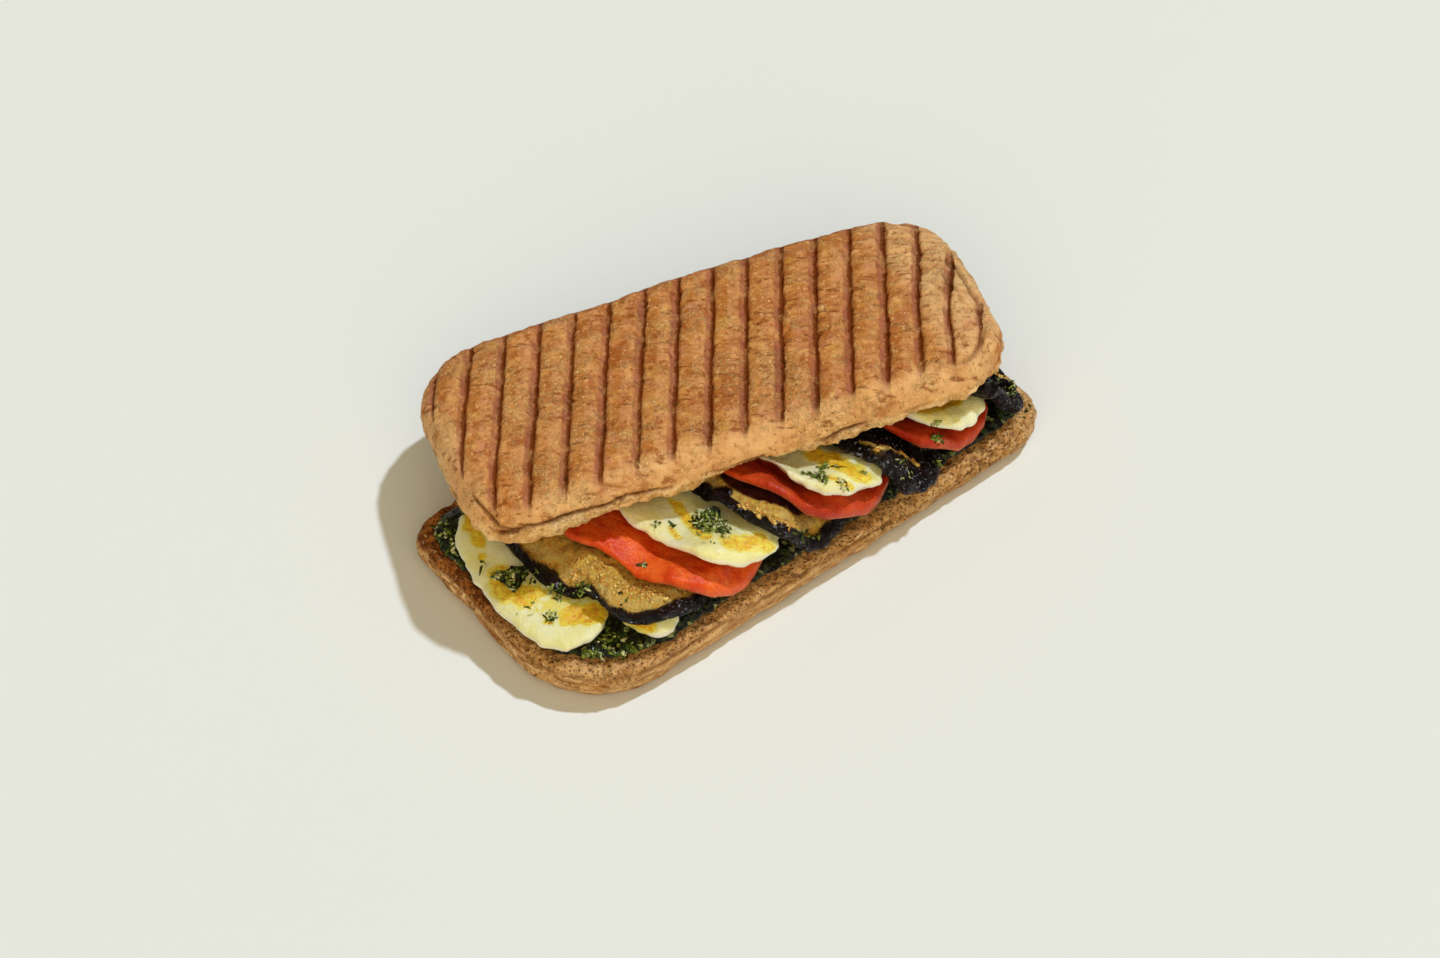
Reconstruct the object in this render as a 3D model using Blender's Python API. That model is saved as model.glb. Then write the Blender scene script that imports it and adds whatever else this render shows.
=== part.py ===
"""Pressed eggplant and halloumi sandwich: a long roll, opened, filled and closed askew.

The base lies flat. Pesto covers its cut face, and slices of halloumi, eggplant and tomato lie
on it like roof tiles, each on the one before. The lid is turned against the base, set back,
and leans on the filling. All sizes are in millimetres times MM.
"""
import math

import bmesh
import bpy
import numpy as np
from mathutils import Euler, Matrix, Vector, noise
from mathutils.bvhtree import BVHTree

MM = 0.001

# Overall placing
SANDWICH_CENTRE = (-1.4 * MM, -16.18 * MM)
TOUCH_GAP = 0.3 * MM

# Points along a quarter arc, a long side and a short side of a bread half
CORNER_STEPS = 6
LONG_STEPS = 12
SHORT_STEPS = 4

# Bread base
BASE_LENGTH = 183 * MM
BASE_WIDTH = 85 * MM
BASE_HEIGHT = 12 * MM
BASE_CORNERS = (30 * MM, 19 * MM, 23 * MM, 11 * MM)
BASE_SWELL = 0.8 * MM
BASE_ROUGHNESS = 0.35 * MM
BASE_CROWN_RING = 5

# Bread lid
LID_LENGTH = 170 * MM
LID_WIDTH = 83.6 * MM
LID_BOW = 1.3 * MM
LID_CORNERS = (21 * MM, 21 * MM, 20 * MM, 27 * MM)
LID_CENTRE = (5.2 * MM, 19.1 * MM, 35.6 * MM)
LID_TURN = (math.radians(-10), math.radians(-2), math.radians(-16))
LID_SWELL = 0.6 * MM

# Where the lid droops, or rises if negative: x, y, drop and reach
LID_DROOPS = (
    (-80 * MM, -34 * MM, 2.0 * MM, 15 * MM),
    (-42 * MM, -44 * MM, -2.0 * MM, 26 * MM),
    (78 * MM, 42 * MM, 4.0 * MM, 30 * MM),
)
LID_ROUGHNESS = 0.5 * MM
LID_LEAST_THICKNESS = 5 * MM
LID_MARGINS = (0.4 * MM, 1.0 * MM, 1.6 * MM, 2.2 * MM, 3.0 * MM)

# Grill marks pressed into the lid
GROOVE_COUNT = 17
GROOVE_PITCH = 10.3 * MM
GROOVE_ANGLE = math.radians(-22)
GROOVE_RADIUS = 1.9 * MM
GROOVE_DEPTH = 1.3 * MM
GROOVE_END_INSET = 2.5 * MM
GROOVE_FADE = 5 * MM
GROOVE_SIDES = 8
GROOVE_RINGS = 14
GROOVE_LEAST_LENGTH = 30 * MM

# Pesto on the base
PESTO_INSET = 5 * MM
PESTO_THICKNESS = 2.0 * MM
PESTO_LUMP = 0.7 * MM
PESTO_OOZE = 2.6 * MM
PESTO_FRONT = -38 * MM
PESTO_FRONT_REACH = 5 * MM
PESTO_CORNER_CUT = 2 * MM
PESTO_SWELL = 2.2 * MM

# Slices
SQUEEZE = 0.45
SQUEEZE_FRONT = -42 * MM
SQUEEZE_BACK = -20 * MM
HALLOUMI_THICKNESS = 6.2 * MM
EGGPLANT_THICKNESS = 3.9 * MM
TOMATO_THICKNESS = 5.4 * MM
SLICE_SEGMENTS = 28
CLUMP_SEGMENTS = 12

# How much farther a slice reaches under the lid than it does to the front
CHEESE_BACK = 1.55
EGGPLANT_BACK = 1.6
TOMATO_BACK = 1.4

# Sag of a slice under its own weight in each settling step: the larger, the softer
HALLOUMI_SAG = 0.10 * MM
TOMATO_SAG = 0.12 * MM
EGGPLANT_SAG = 0.18 * MM
PESTO_SAG = 0.5 * MM

# Height map of what has been laid so far
MAP_STEP = 1.5 * MM
MAP_HALF_X = 104 * MM
MAP_HALF_Y = 70 * MM
MAP_TOP = 200 * MM
SETTLE_STEPS = 900
NUDGE = 0.1 * MM

# Rings from the crown to the underside of a slice: share of the outline, share of the thickness
CLUMP_RIM = ((0.0, 1.0), (0.45, 0.9), (0.85, 0.6), (1.0, 0.3), (0.8, 0.0), (0.0, 0.0))
SOFT_RIM = (
    (0.0, 1.0), (0.50, 1.0), (0.78, 0.98), (0.92, 0.90), (0.985, 0.72), (1.0, 0.5),
    (0.985, 0.28), (0.92, 0.10), (0.78, 0.02), (0.50, 0.0), (0.0, 0.0),
)
CUT_RIM = (
    (0.0, 1.0), (0.50, 1.0), (0.80, 1.0), (0.955, 0.97), (0.99, 0.80), (1.0, 0.5),
    (0.99, 0.20), (0.955, 0.03), (0.80, 0.0), (0.50, 0.0), (0.0, 0.0),
)

# Rings of a loaf half from its upper to its lower centre: inset from the edge, height
BASE_RINGS = (
    (43 * MM, 11.2 * MM), (36 * MM, 11.2 * MM), (24 * MM, 11.3 * MM), (12 * MM, 11.5 * MM),
    (4.5 * MM, 11.9 * MM), (2.0 * MM, 12.0 * MM), (0.7 * MM, 10.8 * MM), (0.0 * MM, 7.5 * MM),
    (0.5 * MM, 4.2 * MM), (1.9 * MM, 1.5 * MM), (4.2 * MM, 0.0 * MM), (20 * MM, 0.0 * MM),
    (43 * MM, 0.0 * MM),
)
LID_RINGS = (
    (42 * MM, 6.2 * MM), (38 * MM, 6.2 * MM), (27 * MM, 6.2 * MM), (17 * MM, 6.15 * MM),
    (10 * MM, 6.0 * MM), (5.5 * MM, 5.2 * MM), (2.5 * MM, 3.5 * MM), (0.8 * MM, 0.8 * MM),
    (0.0 * MM, -2.6 * MM), (0.6 * MM, -5.2 * MM), (2.2 * MM, -6.2 * MM), (8 * MM, -5.9 * MM),
    (16 * MM, -5.7 * MM), (26 * MM, -5.7 * MM), (36 * MM, -5.7 * MM), (42 * MM, -5.7 * MM),
)
LID_SIDE_RING = 8
LID_UNDERSIDE_RING = 10
PESTO_RINGS = (
    (37 * MM, 1.0), (28 * MM, 1.0), (18 * MM, 1.0), (10 * MM, 1.0), (4.5 * MM, 1.0),
    (1.4 * MM, 0.75), (0.0 * MM, 0.4), (1.4 * MM, 0.0), (12 * MM, 0.0), (37 * MM, 0.0),
)

CRUST_COLOUR = (0.50, 0.25, 0.10, 1.0)
CRUMB_COLOUR = (0.45, 0.21, 0.09, 1.0)
PESTO_COLOUR = (0.020, 0.040, 0.014, 1.0)
HALLOUMI_COLOUR = (0.84, 0.76, 0.45, 1.0)
EGGPLANT_COLOUR = (0.60, 0.30, 0.06, 1.0)
TOMATO_COLOUR = (0.62, 0.07, 0.02, 1.0)


def clear_scene():
    for obj in list(bpy.data.objects):
        bpy.data.objects.remove(obj, do_unlink=True)


def new_collection(name):
    collection = bpy.data.collections.new(name)
    bpy.context.scene.collection.children.link(collection)
    return collection


def new_material(name, colour, roughness):
    material = bpy.data.materials.new(name)
    material.use_nodes = True
    shader = material.node_tree.nodes["Principled BSDF"]
    shader.inputs["Base Color"].default_value = colour
    shader.inputs["Roughness"].default_value = roughness
    shader.inputs["Metallic"].default_value = 0.0
    return material


def unevenness(x, y, size, seed):
    """Smooth noise of about -1 to 1, whose lumps are as wide as size."""
    return noise.noise(Vector((x / size + seed, y / size - seed, seed * 0.37)))


def ring_mesh(name, segments, rings, place):
    """Closed mesh from a sphere, whose point in each ring and segment goes where place says."""
    bm = bmesh.new()
    bmesh.ops.create_uvsphere(bm, u_segments=segments, v_segments=rings, radius=1.0)
    for vert in bm.verts:
        ring = round(math.acos(max(-1.0, min(1.0, vert.co.z))) / math.pi * rings)
        segment = round(math.atan2(vert.co.y, vert.co.x) / math.tau * segments) % segments
        vert.co = place(ring, segment)
    bmesh.ops.triangulate(bm, faces=bm.faces)
    bmesh.ops.recalc_face_normals(bm, faces=bm.faces)
    if bm.calc_volume(signed=True) < 0:
        bmesh.ops.reverse_faces(bm, faces=bm.faces)
    mesh = bpy.data.meshes.new(name)
    bm.to_mesh(mesh)
    bm.free()
    mesh.shade_smooth()
    return mesh


def add_object(name, mesh, material, collection, parent):
    obj = bpy.data.objects.new(name, mesh)
    mesh.materials.append(material)
    collection.objects.link(obj)
    obj.parent = parent
    return obj


def loaf_outline(length, width, corners, inset):
    """Rounded rectangle as points, counter-clockwise from the middle of the right side.

    corners holds the radii front left, front right, back right and back left.
    """
    signs = {"back right": (1, 1), "back left": (-1, 1), "front left": (-1, -1), "front right": (1, -1)}
    radii = dict(zip(("front left", "front right", "back right", "back left"), corners))
    arcs = []
    for index, (corner, (side_x, side_y)) in enumerate(signs.items()):
        keep = max(radii[corner], inset)
        radius = keep - inset
        centre_x = side_x * (length / 2 - keep)
        centre_y = side_y * (width / 2 - keep)
        arc = []
        for step in range(CORNER_STEPS + 1):
            angle = math.radians(90) * (index + step / CORNER_STEPS)
            arc.append((centre_x + radius * math.cos(angle), centre_y + radius * math.sin(angle)))
        arcs.append(arc)
    points = []
    for index, arc in enumerate(arcs):
        following = arcs[(index + 1) % 4][0]
        steps = LONG_STEPS if index % 2 == 0 else SHORT_STEPS
        points.extend(arc)
        for step in range(1, steps):
            share = step / steps
            points.append((
                arc[-1][0] + (following[0] - arc[-1][0]) * share,
                arc[-1][1] + (following[1] - arc[-1][1]) * share,
            ))
    return points


def loaf_mesh(name, length, width, corners, rings, swell, seed, lift, bow=0.0):
    """Half a loaf: rings of one rounded rectangle, uneven by swell, raised by lift(x, y, ring).

    bow pushes the middle of the right end outwards.
    """
    outlines = [loaf_outline(length, width, corners, inset) for inset, height in rings]
    last = len(rings) - 1

    def place(ring, segment):
        inset, height = rings[ring]
        if ring in (0, last):
            x, y = 0.0, 0.0
        else:
            x, y = outlines[ring][segment]
        reach = math.hypot(x, y) or 1.0
        bulge = swell * unevenness(x, y, 26 * MM, seed) * max(0.0, 1 - inset / (12 * MM))
        x += x / reach * bulge + bow * bowed(x / length * 2, y / width * 2)
        y += y / reach * bulge
        return Vector((x, y, height + lift(x, y, ring)))

    return ring_mesh(name, len(outlines[0]), last, place)


def bowed(share_x, share_y):
    """Share of the end bow at a point given in half lengths and half widths."""
    return max(0.0, share_x) ** 3 * max(0.0, 1 - share_y * share_y)


class HeightMap:
    """Top of everything laid so far, on a square grid seen from above."""

    def __init__(self):
        self.xs = np.arange(-MAP_HALF_X, MAP_HALF_X + MAP_STEP, MAP_STEP)
        self.ys = np.arange(-MAP_HALF_Y, MAP_HALF_Y + MAP_STEP, MAP_STEP)
        self.top = np.zeros((len(self.xs), len(self.ys)))
        self.trees = []

    def add(self, obj):
        tree = world_tree(obj)
        self.trees.append(tree)
        for i, x in enumerate(self.xs):
            for j, y in enumerate(self.ys):
                hit = tree.ray_cast(Vector((x, y, MAP_TOP)), Vector((0, 0, -1)))[0]
                if hit is not None:
                    self.top[i, j] = max(self.top[i, j], hit.z)

    def widened(self, cells):
        """The map with each cell as high as the highest cell around it."""
        wide = self.top
        for _ in range(cells):
            padded = np.pad(wide, 1, mode="edge")
            wide = np.max([
                padded[di:di + wide.shape[0], dj:dj + wide.shape[1]]
                for di in range(3) for dj in range(3)
            ], axis=0)
        return wide

    def sample(self, grid, x, y):
        u = (x - self.xs[0]) / MAP_STEP
        v = (y - self.ys[0]) / MAP_STEP
        i = min(max(int(u), 0), grid.shape[0] - 2)
        j = min(max(int(v), 0), grid.shape[1] - 2)
        fu = u - i
        fv = v - j
        low = grid[i, j] * (1 - fv) + grid[i, j + 1] * fv
        high = grid[i + 1, j] * (1 - fv) + grid[i + 1, j + 1] * fv
        return low * (1 - fu) + high * fu

    def settle(self, inside, sag):
        """Heights of a soft sheet that sinks onto the map where inside(x, y) holds."""
        mask = np.array([[inside(x, y) for y in self.ys] for x in self.xs])
        floor = self.widened(1) + TOUCH_GAP
        sheet = np.where(mask, floor[mask].max(), 0.0)
        weight = np.pad(mask.astype(float), 1)
        count = weight[:-2, 1:-1] + weight[2:, 1:-1] + weight[1:-1, :-2] + weight[1:-1, 2:]
        count = np.maximum(count, 1.0)
        for _ in range(SETTLE_STEPS):
            wide = np.pad(sheet * mask, 1)
            around = wide[:-2, 1:-1] + wide[2:, 1:-1] + wide[1:-1, :-2] + wide[1:-1, 2:]
            sheet = np.where(mask, np.maximum(floor, around / count - sag), 0.0)
        for _ in range(4):
            wide = np.pad(sheet * mask, 1)
            around = wide[:-2, 1:-1] + wide[2:, 1:-1] + wide[1:-1, :-2] + wide[1:-1, 2:]
            sheet = np.where(mask, sheet, around / count)
            mask = mask | (count > 0.5) & (around > 0)
            weight = np.pad(mask.astype(float), 1)
            count = weight[:-2, 1:-1] + weight[2:, 1:-1] + weight[1:-1, :-2] + weight[1:-1, 2:]
            count = np.maximum(count, 1.0)
        return sheet


def place_matrix(obj):
    """Matrix of an object relative to the sandwich's own centre."""
    return Matrix.LocRotScale(obj.location, obj.rotation_euler, None)


def world_tree(obj):
    matrix = place_matrix(obj)
    points = [matrix @ vert.co for vert in obj.data.vertices]
    return BVHTree.FromPolygons(points, [list(poly.vertices) for poly in obj.data.polygons])


def clear_of(obj, trees):
    tree = world_tree(obj)
    return not any(tree.overlap(other) for other in trees)


def lay(obj, stack):
    """Raise a laid piece until it clears all below it by the touching gap, then map it."""
    while not clear_of(obj, stack.trees):
        obj.location.z += NUDGE
    obj.location.z += TOUCH_GAP
    stack.add(obj)


def squeezed(y):
    """Share of its thickness that a slice keeps under the weight of the lid."""
    share = min(max((y - SQUEEZE_FRONT) / (SQUEEZE_BACK - SQUEEZE_FRONT), 0.0), 1.0)
    return 1 - SQUEEZE * share * share * (3 - 2 * share)


def slice_radius(angle, half_x, half_y, back, squareness, dents):
    """Reach of a slice's outline: a superellipse, longer at the back, drawn in at each dent."""
    if math.sin(angle) > 0:
        half_y *= back
    share_x = abs(math.cos(angle) / half_x) ** squareness
    share_y = abs(math.sin(angle) / half_y) ** squareness
    reach = (share_x + share_y) ** (-1 / squareness)
    for where, width, depth in dents:
        away = math.remainder(angle - math.radians(where), math.tau) / math.radians(width)
        reach *= 1 - depth * math.exp(-away * away)
    return reach


def add_slice(name, stack, material, collection, parent, kind, centre, half, turn,
              squareness=2.4, dents=(), wave=0.0, back=1.0, pressed=True):
    """One slice of the filling, draped over what lies below it."""
    thickness, rim, sag, seed, segments = kind
    centre_x, centre_y = centre[0] * MM, centre[1] * MM
    half_x, half_y = half[0] * MM, half[1] * MM
    angle_turn = math.radians(turn)
    cos_turn, sin_turn = math.cos(angle_turn), math.sin(angle_turn)
    number = sum(map(ord, name))

    def inside(x, y):
        along = (x - centre_x) * cos_turn + (y - centre_y) * sin_turn
        across = -(x - centre_x) * sin_turn + (y - centre_y) * cos_turn
        reach = slice_radius(math.atan2(across, along), half_x, half_y, back, squareness, dents)
        return math.hypot(along, across) < reach + MAP_STEP / 2

    sheet = stack.settle(inside, sag)

    def place(ring, segment):
        share, rise = rim[ring]
        angle = math.tau * segment / segments
        reach = slice_radius(angle, half_x, half_y, back, squareness, dents)
        reach *= 1 + 0.035 * unevenness(math.cos(angle), math.sin(angle), 0.6, seed + number)
        along = share * reach * math.cos(angle)
        across = share * reach * math.sin(angle)
        x = centre_x + along * cos_turn - across * sin_turn
        y = centre_y + along * sin_turn + across * cos_turn
        base = stack.sample(sheet, x, y)
        ripple = wave * MM * share ** 3 * (1 + math.sin(5 * angle + number)) / 2
        kept = squeezed(y) if pressed else 1.0
        thick = thickness * kept * (1 + 0.10 * unevenness(x, y, 22 * MM, seed + number))
        return Vector((along, across, base + ripple + thick * rise))

    mesh = ring_mesh(name, segments, len(rim) - 1, place)
    obj = add_object(name, mesh, material, collection, parent)
    obj.location = (centre_x, centre_y, 0)
    obj.rotation_euler = (0, 0, angle_turn)
    lay(obj, stack)
    return obj


def add_clump(name, stack, material, collection, parent, centre, half, turn, height):
    """A small heap of herbs lying on a slice."""
    kind = (height * MM, CLUMP_RIM, PESTO_SAG, 5, CLUMP_SEGMENTS)
    return add_slice(name, stack, material, collection, parent, kind, centre, half, turn,
                     squareness=2.0, dents=((40, 30, 0.25), (170, 25, 0.3), (280, 28, 0.25)),
                     pressed=False)


def add_base(material, collection, parent):
    def lift(x, y, ring):
        if ring > BASE_CROWN_RING:
            return 0.0
        return BASE_ROUGHNESS * unevenness(x, y, 9 * MM, 3)

    mesh = loaf_mesh("bread_base", BASE_LENGTH, BASE_WIDTH, BASE_CORNERS, BASE_RINGS, BASE_SWELL, 1, lift)
    return add_object("bread_base", mesh, material, collection, parent)


def add_pesto(stack, material, collection, parent):
    """Pesto spread over the cut face, heaped up along the front edge."""
    heights = [height for inset, height in PESTO_RINGS]
    flat_rings = tuple((inset, 0.0) for inset, height in PESTO_RINGS)
    floor = BASE_HEIGHT + TOUCH_GAP

    def lift(x, y, ring):
        front = math.exp(-((y - PESTO_FRONT) / PESTO_FRONT_REACH) ** 2)
        heap = 0.55 + 0.45 * unevenness(x, y, 17 * MM, 8)
        lumps = PESTO_LUMP * unevenness(x, y, 7 * MM, 6)
        thickness = PESTO_THICKNESS + lumps + PESTO_OOZE * front * heap
        return floor + heights[ring] * thickness

    length = BASE_LENGTH - 2 * PESTO_INSET
    width = BASE_WIDTH - 2 * PESTO_INSET
    corners = tuple(radius - PESTO_CORNER_CUT for radius in BASE_CORNERS)
    mesh = loaf_mesh("pesto", length, width, corners, flat_rings, PESTO_SWELL, 4, lift)
    obj = add_object("pesto", mesh, material, collection, parent)
    obj.location = (0, 0, -BASE_ROUGHNESS)
    lay(obj, stack)
    return obj


def lid_inset(x, y):
    """Distance from a point of the lid to its outline, seen from above."""
    if y < 0:
        radius = LID_CORNERS[0] if x < 0 else LID_CORNERS[1]
    else:
        radius = LID_CORNERS[2] if x > 0 else LID_CORNERS[3]
    over_x = abs(x) - (LID_LENGTH / 2 - radius)
    over_y = abs(y) - (LID_WIDTH / 2 - radius)
    outside = math.hypot(max(over_x, 0), max(over_y, 0)) + min(max(over_x, over_y), 0)
    return radius - outside


def lid_lift(x, y):
    """Unevenness of the lid, with its drooping corners."""
    height = LID_ROUGHNESS * unevenness(x, y, 30 * MM, 2)
    for corner_x, corner_y, drop, reach in LID_DROOPS:
        away = math.hypot(x - corner_x, y - corner_y) / reach
        height -= drop * math.exp(-away * away)
    return height


def lid_top(x, y):
    """Height of the lid's crust over a point of the lid."""
    crust = sorted((inset, height) for inset, height in LID_RINGS[:LID_SIDE_RING + 1])
    return np.interp(lid_inset(x, y), *zip(*crust)) + lid_lift(x, y)


def add_groove_ribs(collection, parent):
    """The hot plate's ribs: round bars that lie askew across the lid and follow its crust."""
    across = Vector((math.cos(GROOVE_ANGLE), math.sin(GROOVE_ANGLE), 0))
    along = Vector((-math.sin(GROOVE_ANGLE), math.cos(GROOVE_ANGLE), 0))
    for index in range(GROOVE_COUNT):
        middle = across * (index - (GROOVE_COUNT - 1) / 2) * GROOVE_PITCH
        steps = [along * step * MM for step in range(-100, 101)]
        pressed = [step for step in steps if lid_inset(*(middle + step).xy) > GROOVE_END_INSET]
        if len(pressed) * MM < GROOVE_LEAST_LENGTH:
            continue
        first, last = pressed[0], pressed[-1]

        def place(ring, segment):
            spot = middle + first.lerp(last, ring / GROOVE_RINGS)
            if ring in (0, GROOVE_RINGS):
                radius = 0.0
            else:
                radius = GROOVE_RADIUS
            fade = min(1.0, (lid_inset(spot.x, spot.y) - GROOVE_END_INSET) / GROOVE_FADE)
            depth = GROOVE_DEPTH * (0.35 + 0.65 * max(fade, 0.0))
            spot.z = lid_top(spot.x, spot.y) - depth + GROOVE_RADIUS
            angle = math.tau * segment / GROOVE_SIDES
            return spot + across * radius * math.cos(angle) + Vector((0, 0, radius * math.sin(angle)))

        name = f"grill_rib_{index + 1}"
        rib = bpy.data.objects.new(name, ring_mesh(name, GROOVE_SIDES, GROOVE_RINGS, place))
        collection.objects.link(rib)
        rib.parent = parent
        rib.hide_render = True
        rib.display_type = "WIRE"


def press_underside(mesh, matrix, stack, margin):
    """Push the lid's crumb up over the filling, leaving margin above it."""
    filling = stack.widened(2)
    back = matrix.inverted()
    for vert in mesh.vertices:
        if vert.co.z > LID_RINGS[LID_UNDERSIDE_RING - 2][1]:
            continue
        point = matrix @ vert.co
        needed = stack.sample(filling, point.x, point.y) + margin
        if point.z < needed:
            point.z = needed
            pushed = back @ point
            ceiling = LID_RINGS[0][1] - LID_LEAST_THICKNESS
            vert.co.z = min(pushed.z, ceiling)


def add_lid(stack, material, collection, cutters, parent):
    def lift(x, y, ring):
        return lid_lift(x, y)

    location = Vector(LID_CENTRE)
    matrix = Matrix.LocRotScale(location, Euler(LID_TURN), None)
    for margin in LID_MARGINS:
        mesh = loaf_mesh("bread_lid", LID_LENGTH, LID_WIDTH, LID_CORNERS, LID_RINGS, LID_SWELL, 7,
                         lift, LID_BOW)
        press_underside(mesh, matrix, stack, margin)
        points = [matrix @ vert.co for vert in mesh.vertices]
        tree = BVHTree.FromPolygons(points, [list(poly.vertices) for poly in mesh.polygons])
        if not any(tree.overlap(other) for other in stack.trees):
            break
    obj = add_object("bread_lid", mesh, material, collection, parent)
    obj.location = location
    obj.rotation_euler = LID_TURN
    add_groove_ribs(cutters, obj)
    cut = obj.modifiers.new("Grill marks", "BOOLEAN")
    cut.operation = "DIFFERENCE"
    cut.operand_type = "COLLECTION"
    cut.collection = cutters
    cut.solver = "EXACT"
    return obj


def build():
    clear_scene()
    parts = new_collection("eggplant halloumi sandwich")
    cutters = new_collection("grill ribs")
    sandwich = bpy.data.objects.new("sandwich", None)
    parts.objects.link(sandwich)
    sandwich.location = (SANDWICH_CENTRE[0], SANDWICH_CENTRE[1], 0)

    crust = new_material("crust", CRUST_COLOUR, 0.75)
    crumb = new_material("crust_base", CRUMB_COLOUR, 0.85)
    pesto_green = new_material("pesto", PESTO_COLOUR, 0.45)
    cheese = new_material("halloumi", HALLOUMI_COLOUR, 0.45)
    flesh = new_material("eggplant", EGGPLANT_COLOUR, 0.35)
    red = new_material("tomato", TOMATO_COLOUR, 0.25)

    halloumi = (HALLOUMI_THICKNESS, SOFT_RIM, HALLOUMI_SAG, 11, SLICE_SEGMENTS)
    eggplant = (EGGPLANT_THICKNESS, CUT_RIM, EGGPLANT_SAG, 12, SLICE_SEGMENTS)
    tomato = (TOMATO_THICKNESS, CUT_RIM, TOMATO_SAG, 13, SLICE_SEGMENTS)

    stack = HeightMap()
    stack.add(add_base(crumb, parts, sandwich))
    add_pesto(stack, pesto_green, parts, sandwich)

    def slice_of(name, material, kind, centre, half, turn, **shape):
        return add_slice(name, stack, material, parts, sandwich, kind, centre, half, turn, **shape)

    def herbs_at(name, centre, half, turn, height):
        return add_clump(name, stack, pesto_green, parts, sandwich, centre, half, turn, height)

    slice_of("halloumi_1", cheese, halloumi, (-74, 3), (14.5, 31), -3, squareness=2.6)
    slice_of("halloumi_2", cheese, halloumi, (-56, -22), (8.5, 18), 3)
    herbs_at("herbs_1", (-79.5, 2.5), (7, 4.5), 20, 3.4)
    slice_of("eggplant_1", flesh, eggplant, (-51, -9), (24, 29), 12,
             dents=((200, 20, 0.25), (152, 32, 0.24)), wave=1.2, back=EGGPLANT_BACK)
    slice_of("tomato_1", red, tomato, (-34.5, -13), (24.5, 27.5), 26,
             dents=((152, 26, 0.14),), back=TOMATO_BACK)
    slice_of("halloumi_3", cheese, halloumi, (-27, -10.5), (18.5, 30.5), 8,
             squareness=2.8, back=CHEESE_BACK)
    herbs_at("herbs_2", (-29, -22.5), (7.5, 4.5), 35, 3.2)
    slice_of("eggplant_2", flesh, eggplant, (-5, -12), (18, 30), 10,
             squareness=2.8, wave=1.5, back=EGGPLANT_BACK)
    slice_of("tomato_2", red, tomato, (8.5, -13), (23.5, 30), 25, back=TOMATO_BACK)
    slice_of("halloumi_4", cheese, halloumi, (11, -11), (17, 31), 7,
             squareness=2.8, back=CHEESE_BACK)
    slice_of("eggplant_3", flesh, eggplant, (32.5, -12), (16, 31), 8,
             wave=2.0, back=EGGPLANT_BACK)
    slice_of("tomato_3", red, tomato, (51, -13), (20, 28), 14, back=TOMATO_BACK)
    slice_of("halloumi_5", cheese, halloumi, (53.5, -9), (18, 31), 5, back=CHEESE_BACK)
    slice_of("eggplant_4", flesh, eggplant, (71, -11), (15, 28), 0,
             wave=2.0, back=EGGPLANT_BACK)

    add_lid(stack, crust, parts, cutters, sandwich)


build()
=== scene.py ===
"""Looks of the pressed eggplant and halloumi sandwich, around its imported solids.

Every solid is replaced by a fine copy of itself, with relief and masks worked out in numpy and a
node material that reads them. Chopped herbs and crumbs are meshes of their own. Lengths are in
millimetres until a mesh is made.
"""

from math import cos, pi, radians, sin, sqrt, tau

import bpy
import numpy as np
from mathutils import Euler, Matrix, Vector
from mathutils.bvhtree import BVHTree


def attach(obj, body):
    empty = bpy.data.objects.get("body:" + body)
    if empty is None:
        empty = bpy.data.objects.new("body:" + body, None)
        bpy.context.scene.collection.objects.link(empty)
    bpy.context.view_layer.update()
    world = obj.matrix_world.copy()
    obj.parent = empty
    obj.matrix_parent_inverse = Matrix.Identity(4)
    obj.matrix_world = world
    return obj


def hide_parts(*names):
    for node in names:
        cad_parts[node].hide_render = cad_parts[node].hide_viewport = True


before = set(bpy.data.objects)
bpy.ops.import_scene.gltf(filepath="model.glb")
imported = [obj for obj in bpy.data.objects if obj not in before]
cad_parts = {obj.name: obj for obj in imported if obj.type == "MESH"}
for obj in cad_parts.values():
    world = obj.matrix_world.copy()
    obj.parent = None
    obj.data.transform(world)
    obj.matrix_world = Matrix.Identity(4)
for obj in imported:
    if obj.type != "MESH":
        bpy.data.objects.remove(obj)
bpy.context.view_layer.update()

MM = 0.001

# The sandwich as the solids have it
BASE_CENTRE = np.array((-1.4, -16.18, 0.0))
BASE_SIZE = (183, 85)
BASE_CORNERS = (30, 19, 23, 11)
LID_CENTRE = np.array((5.2, 19.1, 35.6))
LID_TURN = [radians(turn) for turn in (-10, -2, -16)]
LID_SIZE = (170, 83.6)
LID_CORNERS = (21, 21, 20, 27)
GROOVE_COUNT = 17
GROOVE_PITCH = 10.3
GROOVE_ANGLE = radians(-22)
# Bearing of the direction across the grill marks
GRILL_TURN = radians(38)

# Camera: what it looks at, its bearing, height angle, distance and lens
CAMERA_TARGET = np.array((-2.6, -9.38, 0.0))
CAMERA_AZIMUTH = radians(-38.2)
CAMERA_ELEVATION = radians(51.0)
CAMERA_DISTANCE = 1197
CAMERA_LENS = 100

# Key light: bearing from straight behind the sandwich as the camera sees it, and height angle
KEY_BEARING = radians(51)
KEY_ELEVATION = radians(58)
KEY_POWER = 2.37
KEY_ANGLE = 0.05
KEY_COLOUR = (0.74, 0.84, 1.0)
SKY_POWER = 0.22
SKY_COLOUR = (1.0, 0.88, 0.66, 1.0)
FILL_ELEVATION = radians(36)
FILL_POWER = 1.62
FILL_ANGLE = 1.2
FILL_COLOUR = (1.0, 0.86, 0.62)
FLOOR_COLOUR = (230, 231, 222)
FLOOR_SIZE = 6.0

# Grain of the fine copies
VOXEL_LID = 0.6
VOXEL_BASE = 0.72
VOXEL_FILLING = 0.62
VOXEL_PESTO = 0.75
VOXEL_HERBS = 0.45
SMOOTH_PULLS = (0.5, -0.52)


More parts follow.
